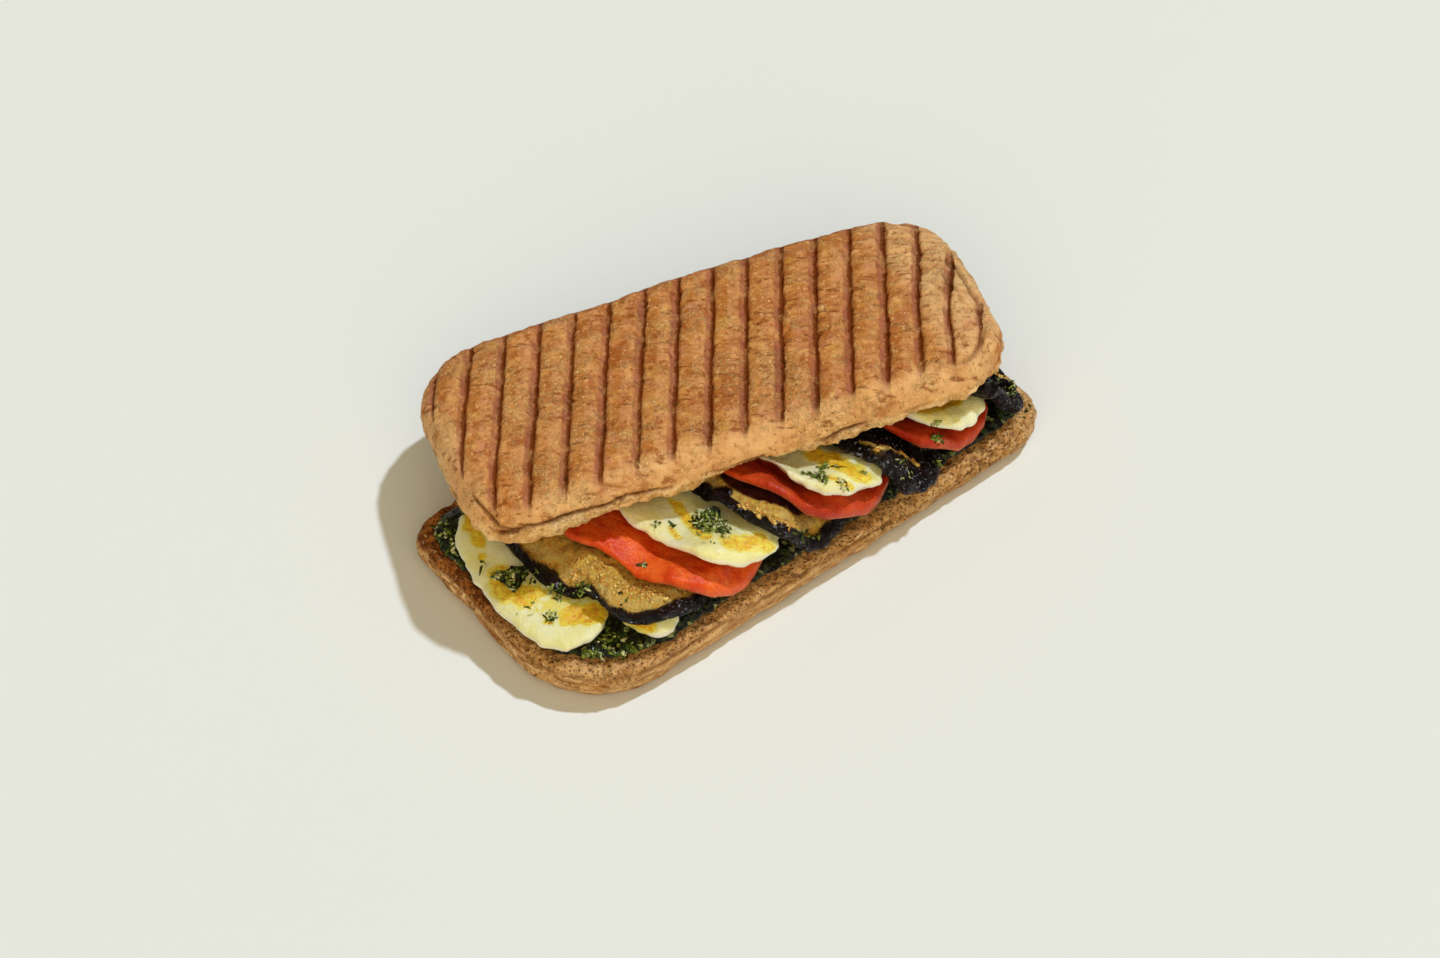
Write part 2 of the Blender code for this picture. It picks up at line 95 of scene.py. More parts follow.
def ramp(value, low, high):
    """Goes from 0 to 1 as the value goes from low to high."""
    share = np.clip((value - low) / (high - low), 0.0, 1.0)
    return share * share * (3 - 2 * share)


def bell(value, width):
    """1 where the value is 0, and next to nothing beyond twice the width."""
    return np.exp(-(value / width) ** 2)


# Steps to the corners and to the neighbours of a lattice cell
CORNERS = list(np.ndindex(2, 2, 2))
NEIGHBOURS = np.array(list(np.ndindex(3, 3, 3))) - 1
# Numbers that scramble a lattice cell and a seed
CELL_FACTORS = (73856093, 19349663, 83492791)
SEED_FACTOR = 2971215073
SCRAMBLES = ((15, 2246822519), (13, 3266489917))
LARGEST = 0xFFFFFFFF


def drawn(cell, seed):
    """A repeatable random number from 0 to 1 for each lattice cell."""
    mixed = np.bitwise_xor.reduce(cell.astype(np.int64) * CELL_FACTORS, axis=1) ^ seed * SEED_FACTOR
    for shift, factor in SCRAMBLES:
        mixed = (mixed ^ (mixed >> shift)) * factor & LARGEST
    return (mixed ^ (mixed >> 16)) / LARGEST


def noise(points, size, seed, octaves=1):
    """Smooth noise from -1 to 1 whose lumps are about as wide as size, a number or three."""
    scaled = points / np.array(size, float)
    total = np.zeros(len(points))
    weight = 1.0
    whole = 0.0
    for octave in range(octaves):
        cell = np.floor(scaled)
        part = scaled - cell
        part = part * part * (3 - 2 * part)
        value = np.zeros(len(points))
        for corner in CORNERS:
            share = np.prod(np.where(corner, part, 1 - part), axis=1)
            value += share * drawn(cell + corner, seed + octave)
        total += weight * (2 * value - 1)
        whole += weight
        weight *= 0.5
        scaled = scaled * 2.03 + 17.3
    return total / whole


def patchy(points, size, seed, low, high, octaves=1):
    """0 to 1 in patches, as noise goes from low to high."""
    return ramp(noise(points, size, seed, octaves), low, high)


def pits(points, size, seed):
    """Distance to the nearest of scattered points, in cell widths, and that point's own number."""
    scaled = points / np.array(size, float)
    cell = np.floor(scaled)
    nearest = np.full(len(points), 9.0)
    number = np.zeros(len(points))
    for step in NEIGHBOURS:
        other = cell + step
        spot = other + np.stack([drawn(other, seed + axis) for axis in range(3)], axis=1)
        away = np.linalg.norm(scaled - spot, axis=1)
        closer = away < nearest
        nearest = np.where(closer, away, nearest)
        number = np.where(closer, drawn(other, seed + 7), number)
    return nearest, number


def inset_of(x, y, size, corners):
    """Distance inwards from the outline of a rounded rectangle."""
    front = np.where(x < 0, corners[0], corners[1])
    back = np.where(x > 0, corners[2], corners[3])
    radius = np.where(y < 0, front, back)
    over_x = np.abs(x) - (size[0] / 2 - radius)
    over_y = np.abs(y) - (size[1] / 2 - radius)
    outside = np.hypot(np.maximum(over_x, 0), np.maximum(over_y, 0))
    return radius - outside - np.minimum(np.maximum(over_x, over_y), 0)


def path_distance(points, path):
    """Distance from each point to a path of straight stretches."""
    best = np.full(len(points), 1e9)
    for start, end in zip(path[:-1], path[1:]):
        start = np.array(start, float)
        along = np.array(end, float) - start
        share = np.clip((points - start) @ along / (along @ along), 0, 1)
        best = np.minimum(best, np.linalg.norm(points - start - share[:, None] * along, axis=1))
    return best


def add_object(name, data):
    obj = bpy.data.objects.new(name, data)
    bpy.context.scene.collection.objects.link(obj)
    return obj


def add_mesh(name, points, faces, masks, material):
    """Puts a smooth mesh with its masks on the one body. The points are in metres."""
    mesh = bpy.data.meshes.new(name)
    mesh.from_pydata(points, [], faces)
    mesh.shade_smooth()
    for mask, value in masks.items():
        layer = mesh.attributes.new(mask, "FLOAT", "POINT")
        layer.data.foreach_set("value", value.astype(np.float32))
    mesh.materials.append(material)
    obj = add_object(name, mesh)
    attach(obj, "root")
    return obj


class Piece:
    """Fine copy of one solid: points, four-cornered faces and how far each point faces up."""

    def __init__(self, node, voxel, rounds):
        self.node = node
        carrier = add_object("carrier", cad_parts[node].data.copy())
        remesh = carrier.modifiers.new("Fine", "REMESH")
        remesh.mode = "VOXEL"
        remesh.voxel_size = voxel * MM
        seen = carrier.evaluated_get(bpy.context.evaluated_depsgraph_get())
        mesh = bpy.data.meshes.new_from_object(seen)
        self.points = np.empty(len(mesh.vertices) * 3)
        mesh.vertices.foreach_get("co", self.points)
        self.points = self.points.reshape(-1, 3) / MM
        self.faces = np.empty(len(mesh.loops), int)
        mesh.loops.foreach_get("vertex_index", self.faces)
        self.faces = self.faces.reshape(-1, 4)
        bpy.data.objects.remove(carrier)
        bpy.data.meshes.remove(mesh)
        rims = np.concatenate([self.faces[:, [i, (i + 1) % 4]] for i in range(4)])
        rims = np.unique(np.sort(rims, axis=1), axis=0)
        self.edges = np.concatenate([rims, rims[:, ::-1]])
        self.smooth(rounds)
        self.start = self.points.copy()
        self.upwards = self.normals()[:, 2]

    def around(self, values):
        """Mean of each point's neighbours."""
        count = np.bincount(self.edges[:, 0], minlength=len(values))
        sums = [
            np.bincount(self.edges[:, 0], values[self.edges[:, 1], axis], len(values))
            for axis in range(values.shape[1])
        ]
        return np.stack(sums, axis=1) / np.maximum(count, 1)[:, None]

    def smooth(self, rounds):
        """Evens out the steps that the remesh leaves, without shrinking the piece."""
        for _ in range(rounds):
            for pull in SMOOTH_PULLS:
                self.points += pull * (self.around(self.points) - self.points)

    def normals(self):
        a, b, c, d = (self.points[self.faces[:, i]] for i in range(4))
        across = np.cross(c - a, d - b)
        normal = np.stack([
            np.bincount(self.faces.ravel(), np.repeat(across[:, axis], 4), len(self.points))
            for axis in range(3)
        ], axis=1)
        return normal / np.maximum(np.linalg.norm(normal, axis=1), 1e-12)[:, None]

    def raise_by(self, height):
        self.points += self.normals() * height[:, None]

    def spread_by(self, width):
        """Moves the side walls outwards, level with the floor."""
        level = self.normals() * (1, 1, 0)
        self.points += level * width[:, None]

    def rim_inset(self, steps=72):
        """Distance inwards from the outline, seen from above, along lines from the middle."""
        flat = self.start[:, :2]
        flat = flat - (flat.max(axis=0) + flat.min(axis=0)) / 2
        angle = np.arctan2(flat[:, 1], flat[:, 0])
        reach = np.hypot(*flat.T)
        edge = np.zeros(steps)
        np.maximum.at(edge, ((angle / tau + 0.5) * steps).astype(int) % steps, reach)
        middles = (np.arange(steps) + 0.5) / steps * tau - pi
        return np.interp(angle, middles, edge, period=tau) - reach

    def settle(self):
        """Lowers the rim onto what lies below, where RIM_DROP says so."""
        rim = 1 - ramp(self.rim_inset(), 1, 9)
        self.points[:, 2] -= RIM_DROP.get(self.node, 0) * rim

    def finish(self, material, slot, masks, **lengths):
        """Adds the piece to the scene. Masks are cut off at 0 and 1, lengths are in millimetres."""
        masks = {name: np.clip(mask, 0, 1) for name, mask in masks.items()} | lengths
        points = (self.points * MM).tolist()
        obj = add_mesh(self.node + "_fine", points, self.faces.tolist(), masks, material)
        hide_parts(self.node)
        return self


def colour(red, green, blue):
    """Linear colour from values of 0 to 255 as a picture shows them."""
    shares = [value / 255 for value in (red, green, blue)]
    linear = [c / 12.92 if c < 0.04045 else ((c + 0.055) / 1.055) ** 2.4 for c in shares]
    return (*linear, 1.0)


class Look:
    """Builds one node material. A colour is three values of 0 to 255, or a socket."""

    def __init__(self, name):
        self.material = bpy.data.materials.new(name)
        self.material.use_nodes = True
        self.tree = self.material.node_tree
        self.surface = self.tree.nodes["Principled BSDF"]
        self.place = self.tree.nodes.new("ShaderNodeTexCoord").outputs["Object"]

    def feed(self, socket, value):
        if isinstance(value, bpy.types.NodeSocket):
            self.tree.links.new(value, socket)
        else:
            socket.default_value = value

    def node(self, kind, output, inputs, **settings):
        """Output of a new node with these inputs and settings."""
        node = self.tree.nodes.new("ShaderNode" + kind)
        for name, value in settings.items():
            setattr(node, name, value)
        for name, value in inputs.items():
            self.feed(node.inputs[name], value)
        return node.outputs[output]

    def mask(self, name):
        return self.node("Attribute", "Fac", {}, attribute_name=name)

    def stretched(self, stretch, turn=0.0):
        """Coordinates in which a pattern comes out stretched, on axes turned about the vertical."""
        inputs = {"Vector": self.place, "Scale": stretch, "Rotation": (0, 0, turn)}
        return self.node("Mapping", "Vector", inputs, vector_type="TEXTURE")

    def noise(self, size, detail=3.0, rough=0.55, twist=0.0, place=None):
        inputs = {"Vector": place or self.place, "Scale": 1 / (size * MM)}
        inputs |= {"Detail": detail, "Roughness": rough, "Distortion": twist}
        return self.node("TexNoise", "Fac", inputs)

    def cells(self, size, output="Distance"):
        return self.node("TexVoronoi", output, {"Vector": self.place, "Scale": 1 / (size * MM)})

    def ramp(self, value, low, high, to_high=1.0, to_low=0.0):
        """Goes smoothly from to_low to to_high as the value goes from low to high."""
        inputs = {"Value": value, "From Min": low, "From Max": high, "To Min": to_low, "To Max": to_high}
        return self.node("MapRange", "Result", inputs, interpolation_type="SMOOTHSTEP")

    def lines(self, value, width):
        """Thin lines where a noise passes its middle value."""
        return self.ramp(self.maths("ABSOLUTE", self.minus(value, 0.5)), width, 0)

    def maths(self, operation, total, *others):
        """One operation on a value, or on it and each of the others in turn."""
        for other in others or (0.0,):
            total = self.node("Math", "Value", {0: total, 1: other}, operation=operation)
        return total

    def plus(self, *values):
        return self.maths("ADD", *values)

    def minus(self, *values):
        return self.maths("SUBTRACT", *values)

    def times(self, *values):
        return self.maths("MULTIPLY", *values)

    def mix(self, share, *tones):
        first, second = (colour(*tone) if isinstance(tone, tuple) else tone for tone in tones)
        return self.node("Mix", "Result", {"Factor": share, "A": first, "B": second}, data_type="RGBA")

    def paint(self, share, tone):
        """Covers the base colour with tone, as far as share says, a socket or a mask's name."""
        self.base = self.mix(self.mask(share) if isinstance(share, str) else share, self.base, tone)

    def tint(self, tone, value, low, high, most=1.0):
        """Covers the base colour with tone, more of it as the value goes from low to high."""
        self.paint(self.ramp(value, low, high, most), tone)

    def finish(self, roughness, relief, depth, **constants):
        """The material, with bumps as deep as depth where relief is 1."""
        bumps = self.node("Bump", "Normal", {"Strength": 1.0, "Distance": depth * MM, "Height": relief})
        for name, value in (("Base Color", self.base), ("Roughness", roughness), ("Normal", bumps)):
            self.feed(self.surface.inputs[name], value)
        for name, value in constants.items():
            self.surface.inputs[name.replace("_", " ")].default_value = value
        return self.material


def lid_material():
    """Pressed crust: tan strips, sharp dark grill marks with painted light on a mauve left wall and painted
    shade on the right, torn dough below.
    """
    look = Look("crust_look")
    across = look.stretched((4.0, 1.0, 1.5), -GRILL_TURN)
    broad = look.noise(15, 3)
    mottle = look.noise(4.2, 5, 0.62)
    grain = look.noise(1.25, 4, 0.68)
    # Distance from the middle of the nearest grill mark, positive on its right
    turns = look.maths("DIVIDE", look.mask("groove_way"), GROOVE_PITCH)
    turns = look.maths("FRACT", look.plus(turns, 0.5))
    off = look.times(look.minus(turns, 0.5), GROOVE_PITCH)
    fade = look.mask("groove_fade")
    look.base = look.mix(look.ramp(broad, 0.35, 0.68), (188, 116, 50), (208, 138, 70))
    look.tint((214, 150, 96), off, 3.5, -3.5, 0.5)
    tint = look.noise(6.5, 4, 0.6, 0.5)
    look.tint((208, 150, 60), tint, 0.55, 0.68, 0.65)
    look.tint((208, 136, 96), tint, 0.44, 0.32, 0.8)
    look.tint((228, 168, 98), mottle, 0.5, 0.68, 0.8)
    look.tint((164, 90, 30), mottle, 0.46, 0.34, 0.85)
    look.paint("pale", (240, 191, 128))
    # Brown: burnt patches and the darker back edge, with painted shade of wrinkles and folds
    look.paint("brown", (164, 84, 28))
    # Painted shade of short soft wrinkles across the strips
    wrinkle = look.ramp(look.noise(1.9, 3, 0.5, 0.3, across), 0.56, 0.68)
    wrinkle = look.times(wrinkle, look.ramp(look.noise(8, 2), 0.42, 0.54))
    look.paint(look.times(wrinkle, 0.8), (142, 74, 18))
    # Painted highlights: bright curved flakes in patches
    flake = look.lines(look.noise(1.9, 2, 0.5, 1.2), 0.05)
    flaky = look.ramp(look.noise(7, 3, 0.6), 0.5, 0.62)
    flake = look.times(flake, look.maths("MAXIMUM", flaky, look.mask("flaky")))
    look.paint(look.times(flake, 0.75), (250, 204, 128))
    look.tint((240, 184, 112), grain, 0.57, 0.65, 0.7)
    look.tint((150, 80, 18), grain, 0.43, 0.34, 0.7)
    dot = look.ramp(look.plus(look.cells(2.1), look.times(grain, 0.5)), 0.42, 0.3)
    dot = look.times(dot, look.ramp(look.noise(9, 3), 0.48, 0.62))
    look.paint(look.times(dot, 0.85), (250, 208, 146))
    # Torn dough and crumb
    dough = look.mix(look.ramp(mottle, 0.35, 0.65), (208, 158, 94), (248, 210, 150))
    dough = look.mix(look.ramp(grain, 0.44, 0.35, 0.75), dough, (146, 94, 42))
    look.paint("dough", dough)
    look.paint("toast", (180, 116, 52))
    # Grill marks: painted light on the mauve wall on the left, and a dark charred floor that also carries
    # painted shade of the wall on the right
    wander = look.plus(look.noise(1.6, 3, 0.6), look.times(look.noise(12, 1), 0.8))
    wander = look.minus(wander, 0.9)
    edge = look.plus(off, look.times(wander, 1.1))
    floor = look.times(look.ramp(edge, -0.35, 0.25), look.ramp(edge, 1.3, 0.85), fade)
    painted_lit_wall = look.times(look.ramp(edge, -2, -0.8), look.ramp(edge, 0.3, -0.3), fade)
    bare = look.ramp(look.noise(7, 3), 0.66, 0.54, to_low=0.45)
    rosy = look.ramp(look.noise(5, 3, 0.6), 0.38, 0.6, 0.85, 0.25)
    # Painted light on the left wall of each grill mark
    look.paint(look.times(painted_lit_wall, rosy), (172, 98, 70))
    # Dark charred floor, widened to the right by painted shade
    look.paint(look.times(floor, bare, 0.92), (114, 46, 0))
    # Painted shade in cracks, creases and folds
    look.paint("dark", (92, 44, 10))
    relief = look.plus(mottle, look.times(grain, 0.45), look.times(flake, 0.3))
    relief = look.minus(relief, look.times(wrinkle, 0.35), look.times(floor, 0.6))
    rough = look.ramp(grain, 0.3, 0.7, 0.7, 0.5)
    return look.finish(rough, relief, 0.75, Specular_IOR_Level=0.1)


def base_material():
    """Lower crust: tan wrinkled sides, a grainy rim, toasted dark where the mask says so."""
    look = Look("crust_base_look")
    mottle = look.noise(3.4, 5, 0.62)
    grain = look.noise(1.2, 4, 0.7)
    streak = look.noise(5, 4, 0.6, 0.3, look.stretched((1.0, 1.0, 0.3)))
    look.base = look.mix(look.ramp(mottle, 0.38, 0.64), (182, 130, 74), (220, 172, 112))
    look.tint((138, 84, 38), streak, 0.48, 0.4, 0.75)
    line = look.noise(2.6, 4, 0.6, 0.4, look.stretched((1.6, 1.6, 0.4)))
    look.tint((250, 212, 156), line, 0.54, 0.62, 0.9)
    look.tint((118, 66, 26), line, 0.44, 0.37, 0.75)
    # Pale: random pale patches on the side and a painted highlight along its upper edge
    look.paint("pale", (228, 184, 124))
    # Brown: burnt patches, darker towards the bottom, and painted shade in the lip and creases of the side
    look.paint("brown", (176, 112, 54))
    look.tint((246, 200, 134), grain, 0.57, 0.65, 0.7)
    look.tint((130, 76, 28), grain, 0.43, 0.35, 0.7)
    crumb = look.mix(look.ramp(mottle, 0.4, 0.6), (196, 142, 80), (218, 170, 108))
    crumb = look.mix(look.ramp(grain, 0.56, 0.64, 0.8), crumb, (242, 206, 148))
    crumb = look.mix(look.ramp(grain, 0.43, 0.35, 0.8), crumb, (132, 84, 38))
    look.paint("crumb", crumb)
    toast = look.mix(look.ramp(mottle, 0.4, 0.62), (118, 62, 22), (176, 108, 48))
    toast = look.mix(look.ramp(grain, 0.58, 0.7, 0.75), toast, (222, 160, 92))
    look.paint("toast", toast)
    look.paint("groove", (104, 50, 24))
    # Painted shade in pores, holes and the lip
    look.paint("dark", (112, 66, 28))
    pores = look.ramp(look.cells(1.1), 0.1, 0.42)
    # Painted shade in the pores of the crumb
    painted_pore_shade = look.times(look.minus(1.0, pores), look.mask("crumb"), 0.45)
    look.paint(painted_pore_shade, (146, 92, 42))
    relief = look.plus(mottle, look.times(grain, 0.5), look.times(line, 0.7))
    relief = look.plus(relief, look.times(pores, 0.8, look.mask("crumb")))
    rough = look.ramp(grain, 0.3, 0.7, 0.75, 0.55)
    return look.finish(rough, relief, 1.2, Specular_IOR_Level=0.1)


def halloumi_material():
    """Cream cheese that turns pale yellow, golden and spotted brown as the mask golden rises."""
    look = Look("halloumi_look")
    patch = look.mask("golden")
    mottle = look.noise(2.6, 5, 0.62)
    fine = look.noise(0.8, 4, 0.65)
    broad = look.ramp(look.noise(9, 2), 0.35, 0.65)
    look.base = look.mix(broad, (246, 234, 156), (252, 244, 186))
    look.tint((253, 249, 216), mottle, 0.56, 0.7, 0.5)
    look.paint("wall", (254, 250, 226))
    heat = look.plus(patch, look.times(look.minus(mottle, 0.5), 1.5, look.ramp(patch, 0, 0.2)))
    look.tint((246, 220, 84), heat, 0.08, 0.34, 0.9)
    yolk = look.mix(look.ramp(mottle, 0.4, 0.62), (255, 190, 10), (255, 232, 70))
    look.tint(yolk, heat, 0.42, 0.72, 0.92)
    look.tint((236, 138, 16), heat, 0.96, 1.16, 0.8)
    ring = look.ramp(look.maths("ABSOLUTE", look.minus(heat, 0.6)), 0.09, 0, 0.7)
    look.paint(ring, (212, 130, 10))
    vein = look.lines(look.noise(2.8, 3, 0.6, 0.8), 0.05)
    look.paint(look.times(vein, look.ramp(heat, 0.6, 1), 0.5), (222, 118, 8))
    speck = look.times(look.ramp(heat, 0.45, 0.8), look.ramp(fine, 0.62, 0.68), 0.85)
    look.paint(speck, (136, 70, 16))
    look.paint(look.times(look.mask("rind"), 0.8), (188, 138, 74))
    relief = look.plus(mottle, look.times(fine, 0.45))
    rough = look.ramp(mottle, 0.35, 0.65, 0.46, 0.28)
    return look.finish(
        rough, relief, 0.6, Subsurface_Weight=0.6, Subsurface_Radius=(1.0, 0.9, 0.5),
        Subsurface_Scale=0.008, Coat_Weight=0.2, Coat_Roughness=0.2)


def eggplant_material():
    """Golden fried flesh and near-black purple skin, split by the mask skin."""
    look = Look("eggplant_look")
    skin = look.mask("skin")
    mottle = look.noise(2.0, 5, 0.65)
    fine = look.noise(0.5, 4, 0.7)
    look.base = look.mix(look.ramp(mottle, 0.36, 0.6), (255, 164, 26), (255, 200, 64))
    # Pale flecks on the flesh: painted highlights
    look.tint((255, 228, 124), fine, 0.46, 0.57, 0.9)
    speck = look.ramp(look.plus(look.cells(2.3), look.times(fine, 0.4)), 0.4, 0.29, 0.8)
    look.paint(speck, (112, 52, 8))
    look.tint((184, 98, 14), mottle, 0.38, 0.3, 0.65)
    # The craters darker: painted shade
    look.paint(look.times(look.mask("hollow"), 0.5), (176, 94, 14))
    # Painted shade: dark red-brown on the flesh beyond the golden strip
    look.paint("painted_gap_shade", (88, 28, 10))
    # Crest: strips of flesh through the skin, and a golden band beside the skin that is partly painted
    # light
    look.paint("crest", (255, 220, 128))
    peel = look.mix(look.ramp(mottle, 0.48, 0.64), (6, 2, 2), (38, 14, 20))
    peel = look.mix(look.ramp(look.noise(4.5, 4, 0.6), 0.5, 0.64, 0.6), peel, (50, 27, 26))
    # Purple-grey flecks on the skin: painted highlights
    peel = look.mix(look.ramp(fine, 0.62, 0.72, 0.3), peel, (96, 76, 100))
    # Painted glints: pale specks on part of the skin
    glint = look.times(look.ramp(look.noise(1.1, 3, 0.6), 0.59, 0.66), look.mask("painted_glints"), 0.85)
    peel = look.mix(glint, peel, (190, 186, 206))
    look.paint(skin, peel)
    look.paint("charred", (14, 11, 9))
    crinkle = look.times(look.lines(look.noise(2.4, 3, 0.5, 0.8), 0.16), skin)
    relief = look.plus(mottle, look.times(fine, 0.5), look.times(crinkle, 0.8))
    rough = look.ramp(skin, 0, 1, 0.19, 0.34)
    return look.finish(
        rough, relief, 2.2, Subsurface_Weight=0.15, Subsurface_Radius=(1.0, 0.6, 0.2),
        Subsurface_Scale=0.002, Specular_IOR_Level=0.55)


def tomato_material():
    """Wet orange-red flesh, deeper and darker where the mask deep says so."""
    look = Look("tomato_look")
    mottle = look.noise(6, 3, 0.55)
    fine = look.noise(0.9, 3, 0.6)
    streaks = look.noise(2.6, 3, 0.6, 0.6, look.stretched((1.0, 2.5, 1.0)))
    look.base = look.mix(look.ramp(mottle, 0.35, 0.65), (216, 66, 14), (238, 100, 30))
    look.tint((246, 140, 66), streaks, 0.55, 0.74, 0.4)
    look.paint("deep", look.mix(mottle, (124, 12, 6), (186, 38, 18)))
    look.paint("pale", (190, 116, 84))
    # Pale specks: painted highlights
    look.tint((244, 190, 150), fine, 0.7, 0.78, 0.6)
    relief = look.plus(streaks, look.times(fine, 0.6))
    rough = look.ramp(fine, 0.35, 0.65, 0.4, 0.22)
    return look.finish(
        rough, relief, 0.55, Subsurface_Weight=0.2, Subsurface_Radius=(1.0, 0.25, 0.1),
        Subsurface_Scale=0.0025, Specular_IOR_Level=0.3)


def pesto_material():
    """Oily chopped herbs: near black with painted shade in the hollows, green with pale bits on the lumps.
    """
    look = Look("pesto_look")
    lump = look.mask("lump")
    chopped = look.cells(1.3, "Color")
    red, green = (look.node("SeparateColor", part, {"Color": chopped}) for part in ("Red", "Green"))
    fine = look.noise(0.6, 4, 0.7)
    # Darker in the hollows between lumps: painted shade
    look.base = look.mix(look.ramp(lump, 0.3, 0.9), (8, 9, 4), (30, 40, 14))
    look.tint((62, 86, 26), red, 0.6, 0.9, 0.75)
    look.tint((176, 184, 108), green, 0.88, 0.95, 0.9)
    # Near-black fine hollows: painted shade
    look.tint((4, 5, 2), fine, 0.48, 0.38, 0.9)
    relief = look.plus(fine, look.cells(1.0))
    rough = look.ramp(fine, 0.35, 0.65, 0.45, 0.18)
    return look.finish(rough, relief, 0.9, Coat_Weight=0.35, Coat_Roughness=0.15)


def leaf_material():
    """Flecks of chopped herbs, each in its own tone from the mask tone."""
    look = Look("herb_flecks_look")
    tone = look.mask("tone")
    fine = look.noise(0.7, 3)
    look.base = look.mix(look.ramp(tone, 0, 0.55), (32, 38, 10), (84, 102, 24))
    look.tint((150, 166, 62), tone, 0.55, 0.8)
    look.tint((232, 228, 164), tone, 0.84, 0.96)
    look.tint((26, 30, 8), fine, 0.55, 0.4, 0.4)
    return look.finish(0.4, fine, 0.3, Specular_IOR_Level=0.25)


# Places on the upper half: u along it, v towards its back and w up
FLAKY_SPOTS = ((3, -17), (2, -8), (3, -28), (-47, -18), (-41, -17))
CORNER_CREASE = ((-83, -22, 3), (-80.5, -30, 0.8), (-79, -35, -1.4), (-75, -38, -2.0))
# Height of the lip between crust and torn dough, along the front and elsewhere
LIP_U = (-80, -76, -72, -58, -46, -30, -10, 20, 84)
LIP_W = (-1.4, -2.2, 0.4, 0.3, 0.2, -0.6, -1.6, -2.6, -3.0)
LIP_ELSEWHERE = -3.6
# How far the right front corner is drawn in
CORNER_PULL = (-2.6, 1.2, 0)


